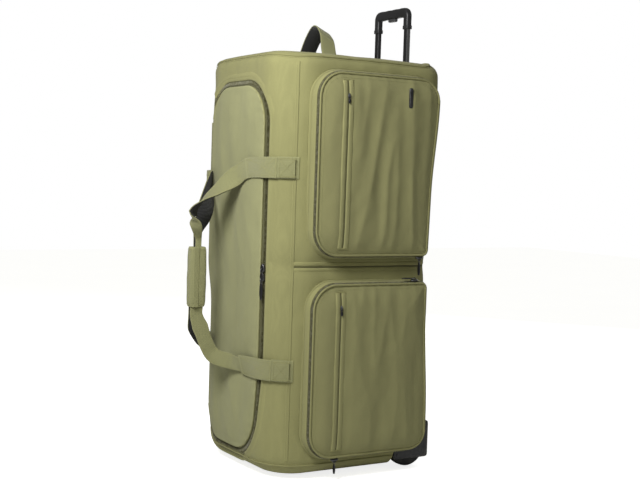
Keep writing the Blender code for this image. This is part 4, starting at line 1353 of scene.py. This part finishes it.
def pull_mesh(length):
    """Pull: wire ring through the bridge and a long moulded tab, pointing down -b."""
    bits = Bits()
    turns = [2 * math.pi * k / 16 for k in range(16)]
    ring = [(Vector((0.0030 * math.sin(t), -0.0022 - 0.0034 * math.cos(t), 0.0)), UP) for t in turns]
    bits.add(*sweep_data(ring, round_profile(0.0006, 6), closed=True))
    start, rows, around, verts = -0.0046, 14, 20, []
    for k in range(rows + 1):
        t = k / rows
        b = start + (-length - start) * t
        width = 0.0026 + 0.0014 * math.sin(math.pi * min(1.0, t * 1.15)) + 0.0004 * t
        width *= 0.80 if t > 0.93 else 0.7 if t == 0 else 1.0
        thick = 0.0009 + 0.0003 * math.sin(math.pi * t) + 0.00018 * (k % 2) * (0.25 < t < 0.9)
        for j in range(around):
            a, h = rounded_section(2 * math.pi * j / around, width, thick, 0.7, 0.6)
            verts.append(Vector((a, b, h)))
    bits.add(verts, tube_faces(rows + 1, around))
    return bits


def placed(bits, matrix, node, name, body=None):
    """Builds a small metal part at a place, standing for its CAD node."""
    bits.verts = [matrix @ v for v in bits.verts]
    obj = bits.build(name, MATS["gunmetal"], body or node, "gunmetal")
    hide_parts(node)
    return obj


JOINTS = {joint["name"]: joint for joint in frame["joints"]}


def build_slider(node, along, normal, half, lug_at, lift=0.0):
    """A slider set on the face of its CAD box that points against its normal."""
    low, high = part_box(node)
    depth = (high - low).dot(Vector([abs(c) for c in normal]))
    base = (low + high) / 2 - Vector(normal) * (depth / 2) + Vector(normal) * lift
    placed(slider_mesh(half, lug_at), basis(base, along, normal), node, node + "_metal")


def build_pull(node, down, normal, length):
    """A pull hung from its joint's place."""
    matrix = basis(JOINTS[node + "_swing"]["pos_m"], -Vector(down), normal)
    placed(pull_mesh(length), matrix, node, node + "_tab")


def build_sliders():
    """The lid's two sliders on their curved rail, and the pockets' five, each with its pull."""
    for level, lug_at, length in (("upper", -0.0045, 0.0175), ("lower", -0.0055, 0.0360)):
        node = "lid_slider_" + level
        low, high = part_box(node)
        point, normal = front_point(LID_HIGH.x + COIL_OUT, (low.z + high.z) / 2, 0.0004)
        placed(slider_mesh(0.0054, lug_at), basis(point, UP, normal), node, node + "_metal")
        build_pull("lid_pull_" + level, -UP, normal, length)
    for _, tag in SIDES:
        for level, length in (("upper", 0.030), ("lower", 0.0225)):
            build_slider("pocket_slider_%s_%s" % (tag, level), (0, 1, 0), (0, 0, -1), 0.0046, 0.0, -0.0006)
            build_pull("pocket_pull_%s_%s" % (tag, level), (0, 0, -1), (0, 1, 0), length)
    build_slider("pocket_slider_right_top", (0, 1, 0), (0, 0, 1), 0.0046, 0.0, -0.0006)
    build_pull("pocket_pull_right_top", (0, -1, 0), (0, 0, 1), 0.028)


def build_slash_slider(side, tag, level, outer):
    """Small slider that peeps out of the slash zip's fold, with its fixed tab."""
    node = "slash_slider_%s_%s" % (tag, level)
    low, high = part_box(node)
    point, _, _, _ = outer.find_nearest(Vector((side * 0.207, (low.y + high.y) / 2, high.z - 0.008)))
    bits, tab = slider_mesh(0.0026, 0.0), pull_mesh(0.013)
    bits.verts = [Vector((v.x, v.y * 0.6, v.z * 0.6)) for v in bits.verts]
    bits.add([Vector((v.x * 0.6, v.y - 0.001, v.z + 0.0034)) for v in tab.verts], tab.faces)
    place = point + Vector((side * 0.0004, 0, 0))
    placed(bits, basis(place, UP, (side, 0, 0)), node, node + "_metal")


def build_badge(outer):
    """Plain enamelled badge on the upper pocket."""
    low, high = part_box("badge")
    middle, half = (low + high) / 2, (high - low) / 2
    point, normal, _, _ = outer.find_nearest(Vector((0.207, middle.y, middle.z)))
    bits = Bits()
    for shrink, h0, h1 in ((0.0, 0.0, 0.0012), (0.0018, 0.0012, 0.0017)):
        bits.add(*rounded_plate(half.y - shrink, half.z - shrink, 0.0025, h0, h1))
    matrix = basis(point, UP, normal if normal.x > 0 else -normal)
    soft_edges(placed(bits, matrix, "badge", "badge_plate", "flap_right_upper"), 0.0003, 2)


# ---------------------------------------------------------------- telescopic handle and back
def grip_verts(flat, y, around):
    """Soft squared section carried along the grip's arch, waisted for the fingers on its bar."""
    verts = []
    for i, p in enumerate(flat):
        along = direction(flat, i)
        out = Vector((-along.y, along.x))
        mid = abs(along.x)
        half_out, half_y = 0.0079 + 0.0019 * mid, 0.0068 + 0.0006 * mid
        groove = 0.0005 * mid * (0.5 + 0.5 * math.cos(p.x * 2 * math.pi / 0.024)) * (abs(p.x) < 0.043)
        for j in range(around):
            a, b = rounded_section(2 * math.pi * j / around, half_out - groove, half_y, 0.62, 0.62)
            verts.append(Vector((p.x + out.x * a, y + b, p.y + out.y * a)))
    return verts


def build_trolley_grip():
    """Moulded crossbar and legs, the collars on the tubes and the push button."""
    low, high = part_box("trolley_grip")
    leg_low, leg_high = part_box("handle_tube_right")
    y, leg_x, bar_z = (low.y + high.y) / 2, (leg_low.x + leg_high.x) / 2, high.z - 0.0098
    corners = [Vector(c) for c in ((-leg_x, low.z), (-leg_x, bar_z), (leg_x, bar_z), (leg_x, low.z))]
    flat, around = spaced(filleted(corners, [0.010, 0.010]), step=0.0025), 24
    grip = piece("grip_moulding", grip_verts(flat, y, around), tube_faces(len(flat), around),
                 [MATS["plastic"]], "trolley", "black_plastic")
    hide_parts("trolley_grip")
    bits = Bits()
    for side, _ in SIDES:
        verts, faces = rounded_plate(0.0086, 0.0066, 0.002, low.z - 0.0006, low.z + 0.0070)
        bits.add([v + Vector((side * leg_x, y, 0.0)) for v in verts], faces)
    soft_edges(bits.build("grip_collars", MATS["plastic"], "trolley", "black_plastic"), 0.0008)
    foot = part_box("push_button")[0].z
    verts, faces = rounded_plate(0.0118, 0.0040, 0.003, foot - 0.0012, foot + 0.0050)
    button = piece("grip_button", [v + Vector((0.0, y, 0.0)) for v in verts], faces,
                   [MATS["button"]], "button", "button_plastic")
    soft_edges(button, 0.0010)


def build_bezel():
    """Moulded plate that the tubes come out of."""
    low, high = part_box("handle_bezel")
    y = (low.y + high.y) / 2
    verts, faces = rounded_plate(high.x, (high.y - low.y) / 2, 0.006, low.z, high.z, 48)
    bezel = piece("bezel_moulding", [v + Vector((0.0, y, 0.0)) for v in verts], faces, [MATS["plastic"]],
                  "case", "black_plastic", angle=30.0)
    cut_tube_holes(bezel, 0.0008, 0.0026, 32, low.z - 0.02, high.z + 0.02)
    soft_edges(bezel, 0.0010, 2)
    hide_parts("handle_bezel")


def build_back_cover():
    """Cloth cover over the handle's channels, with piped and stitched edges."""
    low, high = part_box("handle_cover")
    box, corner, depth = (low.x, high.x, low.z, high.z), (0.018,) * 4, high.y - BACK
    lines, columns, verts = eased(96), eased(40), []
    for v in lines:
        for u in columns:
            x, z, inside = rounded_place(u, v, box, corner)
            lift = depth * puff(inside, 0.013, 2.2)
            lift += 0.0008 * puff(inside, 0.03) * ripple((x, 0, z * 0.6), 22.0, 8.0)
            verts.append(Vector((x, BACK + min(lift, depth + 0.0008), z)))
    faces = grid_faces(len(lines), len(columns))
    cover = piece("cover_cloth", verts, faces, [MATS["canvas"]], "case", "canvas")
    outer = tree_of(cover)
    solidify(cover, 0.0020, 1.0 if cover_faces_out(cover) else -1.0)
    hole_low, hole_high = high.z - 0.08, high.z + 0.07
    cut_tube_holes(cover, 0.001, 0.002, 24, hole_low, hole_high)
    cover.data.shade_smooth()
    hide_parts("handle_cover")
    ring = outline(box, corner, 300, 0.001)
    track = [(Vector((p.x, BACK + 0.0018, p.y)), Vector((0.0, 1.0, 0.0))) for p in ring]
    cord("cover_piping", track, radius=0.0020, closed=True)
    points = [Vector((p.x, high.y, p.y)) for p in outline(box, corner, 300, -0.016)]
    stitch_row("cover_stitches", [(p, n if n.y > 0 else -n) for p, n in laid_on(outer, points)], 0.0004)


def cover_faces_out(obj):
    return obj.data.polygons[len(obj.data.polygons) // 2].normal.y < 0


def build_skids():
    """Moulded runners down the back."""
    around = 120
    for _, tag in SIDES:
        node = "back_skid_" + tag
        low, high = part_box(node)
        middle, half = (low + high) / 2, (high - low) / 2
        levels = ((0.0, low.y), (0.0, low.y + 0.0015), (-0.0012, high.y - 0.0008), (-0.0026, high.y))
        verts = []
        for grow, depth in levels:
            ring = outline((-half.x, half.x, -half.z, half.z), (half.x - 0.0002,) * 4, around, grow)
            verts += [Vector((middle.x + p.x, depth, middle.z + p.y)) for p in ring]
        skid = piece(node + "_moulding", verts, tube_faces(len(levels), around), [MATS["plastic"]],
                     "case", "black_plastic")
        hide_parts(node)


# ---------------------------------------------------------------- wheels and feet
def turned(profile, centre, sign, count=64):
    """Ring of a profile of (offset along X, radius) turned about the wheel's axle."""
    verts = []
    for offset, radius in profile:
        for k in range(count):
            angle = 2 * math.pi * k / count
            verts.append(Vector((centre.x + sign * offset, centre.y + radius * math.cos(angle),
                                 centre.z + radius * math.sin(angle))))
    return verts, tube_faces(len(profile), count, capped=False)


def build_wheel(side, tag):
    """Rubber tyre with a grooved tread, moulded hub and its six spokes."""
    low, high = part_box("tyre_" + tag)
    centre, radius, half = (low + high) / 2, (high.z - low.z) / 2, (high.x - low.x) / 2
    body = "wheel_" + tag
    shoulder = ((0.0, 0.0045), (0.0012, 0.0018), (0.0036, 0.0004))
    tread = [(-half, 0.0246)] + [(-half + a, radius - d) for a, d in shoulder]
    tread += [(-0.0035, radius), (-0.0026, radius - 0.0012), (0.0026, radius - 0.0012), (0.0035, radius)]
    tread += [(half - a, radius - d) for a, d in shoulder[::-1]] + [(half, 0.0246)]
    tyre = piece("tyre_rubber_" + tag, *turned(tread, centre, side), [MATS["rubber"]], body,
                 "wheel_rubber", angle=30.0)
    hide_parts("tyre_" + tag)
    dish = ((-0.0004, 0.0036), (-0.0004, 0.0075), (0.0030, 0.0085), (0.0030, 0.0190), (0.0002, 0.0205),
            (0.0002, 0.0240))
    rim = [(-half + a, r) for a, r in dish] + [(half - a, r) for a, r in dish[::-1]]
    hub = piece("hub_moulding_" + tag, *turned(rim, centre, side), [MATS["plastic"]], body,
                "black_plastic", angle=30.0)
    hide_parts("hub_" + tag)
    spokes = Bits()
    verts, faces = rounded_plate(0.0060, 0.0016, 0.0008, 0.0, 0.0018, 16)
    for face in (-1, 1):
        for k in range(6):
            turn = Matrix.Rotation(math.pi / 3 * k, 4, "X")
            depth = face * (half - 0.0026)
            turned_verts = [turn @ Vector((depth + face * v.z * 0.9, v.x + 0.0132, v.y)) for v in verts]
            spokes.add([centre + v for v in turned_verts], faces)
    spokes.build("hub_spokes_" + tag, MATS["plastic"], body, "black_plastic")


def build_feet():
    """Two plain rubber feet under the front edge."""
    around = 60
    for _, tag in SIDES:
        node = "foot_" + tag
        low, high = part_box(node)
        middle, half = (low + high) / 2, (high - low) / 2
        verts = []
        for grow, z in ((-0.0015, 0.0), (0.0, 0.0015), (0.0008, 0.008), (0.0030, high.z + 0.0004)):
            ring = outline((-half.x, half.x, -half.y, half.y), (0.007,) * 4, around, grow)
            verts += [Vector((middle.x + p.x, middle.y + p.y, z)) for p in ring]
        foot = piece(node + "_moulding", verts, tube_faces(4, around), [MATS["rubber"]], "case",
                     "wheel_rubber")
        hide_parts(node)


def build_housing_trim(side, tag):
    """Three flush screws on the wheel housing's outer face."""
    low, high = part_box("wheel_housing_" + tag)
    outer_x = high.x if side > 0 else low.x
    bits = Bits()
    top, bottom = high.z - 0.010, low.z + 0.010
    for y, z in ((high.y - 0.012, top), (low.y + 0.012, top), (low.y + 0.010, bottom)):
        for radius, h0, h1 in ((0.0030, -0.0005, 0.0008), (0.0018, 0.0008, 0.0012)):
            verts, faces = rounded_plate(radius, radius, radius - 0.0001, h0, h1, 20)
            bits.add([Vector((outer_x + side * v.z, y + v.x, z + v.y)) for v in verts], faces)
    bits.build("housing_screws_" + tag, MATS["plastic"], "case", "black_plastic")


def edged_copy(node, mat, body, slot):
    """The node's own shape with its edges rounded off, standing for it."""
    source = frame["nodes"][node]
    verts = [source.matrix_world @ v.co for v in source.data.vertices]
    faces = [tuple(p.vertices) for p in source.data.polygons]
    copy = piece(node + "_edged", verts, faces, [mat], body, slot, angle=30.0)
    soft_edges(copy, 0.0006, 2)
    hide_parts(node)


def dress_kept_nodes():
    """Rounded stand-ins for the tubes and housings; better materials on the CAD pieces that stay."""
    for _, tag in SIDES:
        edged_copy("handle_tube_" + tag, MATS["tube"], "trolley", "tube_metal")
        edged_copy("wheel_housing_" + tag, MATS["plastic"], "case", "black_plastic")
    kept = {"base_board": "board", "bottom_board": "board", "push_button": "button"}
    for _, tag in SIDES:
        kept["push_rod_" + tag] = "tube"
        for stem in ("handle_channel_", "lock_pin_", "axle_"):
            kept[stem + tag] = "steel"
    for node, key in kept.items():
        obj = frame["nodes"][node]
        if not obj.material_slots:
            obj.data.materials.append(MATS[key])
        for slot in obj.material_slots:
            slot.material = MATS[key]


# ---------------------------------------------------------------- stage, light and camera
def build_floor():
    """Wide pale floor, which also shines back at the camera so that it stays near white."""
    n = Nodes("pale_floor")
    tone = n.mix(n.spread(n.noise(3.0), 0.3, 0.7), (0.86, 0.86, 0.86, 1), (0.90, 0.90, 0.90, 1))
    floor_mat = n.finish(tone, 0.85)
    seen = n.add("LightPath").outputs["Is Camera Ray"]
    n.tree.links.new(n.math("MULTIPLY", seen, 0.80), n.shader.inputs["Emission Strength"])
    n.shader.inputs["Emission Color"].default_value = (1.0, 1.0, 1.0, 1.0)
    half = 6.0
    verts = [(-half, -half, 0.0), (half, -half, 0.0), (half, half, 0.0), (-half, half, 0.0)]
    piece("floor", verts, [(0, 1, 2, 3)], [floor_mat], None, None, smooth=False)


def build_world():
    """Soft warm ambient light, seen as plain white behind the bag."""
    world = bpy.data.worlds.new("studio")
    bpy.context.scene.world = world
    world.use_nodes = True
    nodes, links = world.node_tree.nodes, world.node_tree.links
    ambient, backdrop = nodes["Background"], nodes.new("ShaderNodeBackground")
    ambient.inputs["Strength"].default_value = 0.21
    ambient.inputs["Color"].default_value = (1.0, 0.99, 0.88, 1.0)
    backdrop.inputs["Color"].default_value = (1.0, 1.0, 1.0, 1.0)
    mix = nodes.new("ShaderNodeMixShader")
    links.new(nodes.new("ShaderNodeLightPath").outputs["Is Camera Ray"], mix.inputs[0])
    links.new(ambient.outputs[0], mix.inputs[1])
    links.new(backdrop.outputs[0], mix.inputs[2])
    links.new(mix.outputs[0], nodes["World Output"].inputs["Surface"])
    bpy.context.scene.view_settings.view_transform = "Standard"


def build_lamps():
    """Key lamp to the front right and a broad lamp behind, both aimed at the bag's middle."""
    lamps = (("key", (0.62, -0.84, 1.13), 0.45, 15.0), ("back", (-1.5, 1.9, 1.0), 1.6, 18.0))
    for name, place, size, power in lamps:
        light = bpy.data.lights.new(name, "AREA")
        light.size = size
        light.energy = power
        lamp = bpy.data.objects.new(name, light)
        lamp.location = place
        lamp.rotation_euler = (Vector((0.0, 0.0, 0.5)) - Vector(place)).to_track_quat("-Z", "Y").to_euler()
        bpy.context.scene.collection.objects.link(lamp)


def build_camera():
    """The photograph's view: from the front right, slightly above, tilted a little."""
    azimuth, pitch, roll = math.radians(58.56), math.radians(3.016), math.radians(1.85)
    distance = 2.3002
    aim = Vector((0.0, BACK - 0.1675, 0.40))
    across, below = 0.0160, 0.0386            # how far the aim sits left of and below the picture's middle
    level = Vector((math.cos(azimuth), math.sin(azimuth), 0.0))
    ahead = Vector((-math.sin(azimuth), math.cos(azimuth), 0.0))
    forward = ahead * math.cos(pitch) - UP * math.sin(pitch)
    upright = level.cross(forward)
    right = level * math.cos(roll) + upright * math.sin(roll)
    up = upright * math.cos(roll) - level * math.sin(roll)
    place = aim - forward * distance + right * across + up * below
    camera = bpy.data.cameras.new("camera")
    camera.lens = 64.08
    obj = bpy.data.objects.new("camera", camera)
    obj.matrix_world = Matrix.Translation(place) @ Matrix((right, up, -forward)).transposed().to_4x4()
    bpy.context.scene.collection.objects.link(obj)
    bpy.context.scene.camera = obj


def main():
    """Builds every piece, then the stage, light and camera."""
    outer = build_case()
    build_rim_piping(outer)
    build_seams(outer)
    build_lid()
    build_main_zip()
    build_lid_hinge()
    for side, tag in SIDES:
        for level in LEVELS:
            build_gusset(side, tag, level)
            flap = build_flap(side, tag, level)
            build_slash_slider(side, tag, level, flap)
            if (tag, level) == ("right", "upper"):
                build_badge(flap)
        build_wheel(side, tag)
        build_housing_trim(side, tag)
    for side, tag in SIDES:
        build_strap(side, tag)
    build_grip_wrap()
    build_top_handle()
    build_sliders()
    build_trolley_grip()
    build_bezel()
    build_back_cover()
    build_skids()
    build_feet()
    dress_kept_nodes()
    build_floor()
    build_world()
    build_lamps()
    build_camera()


main()
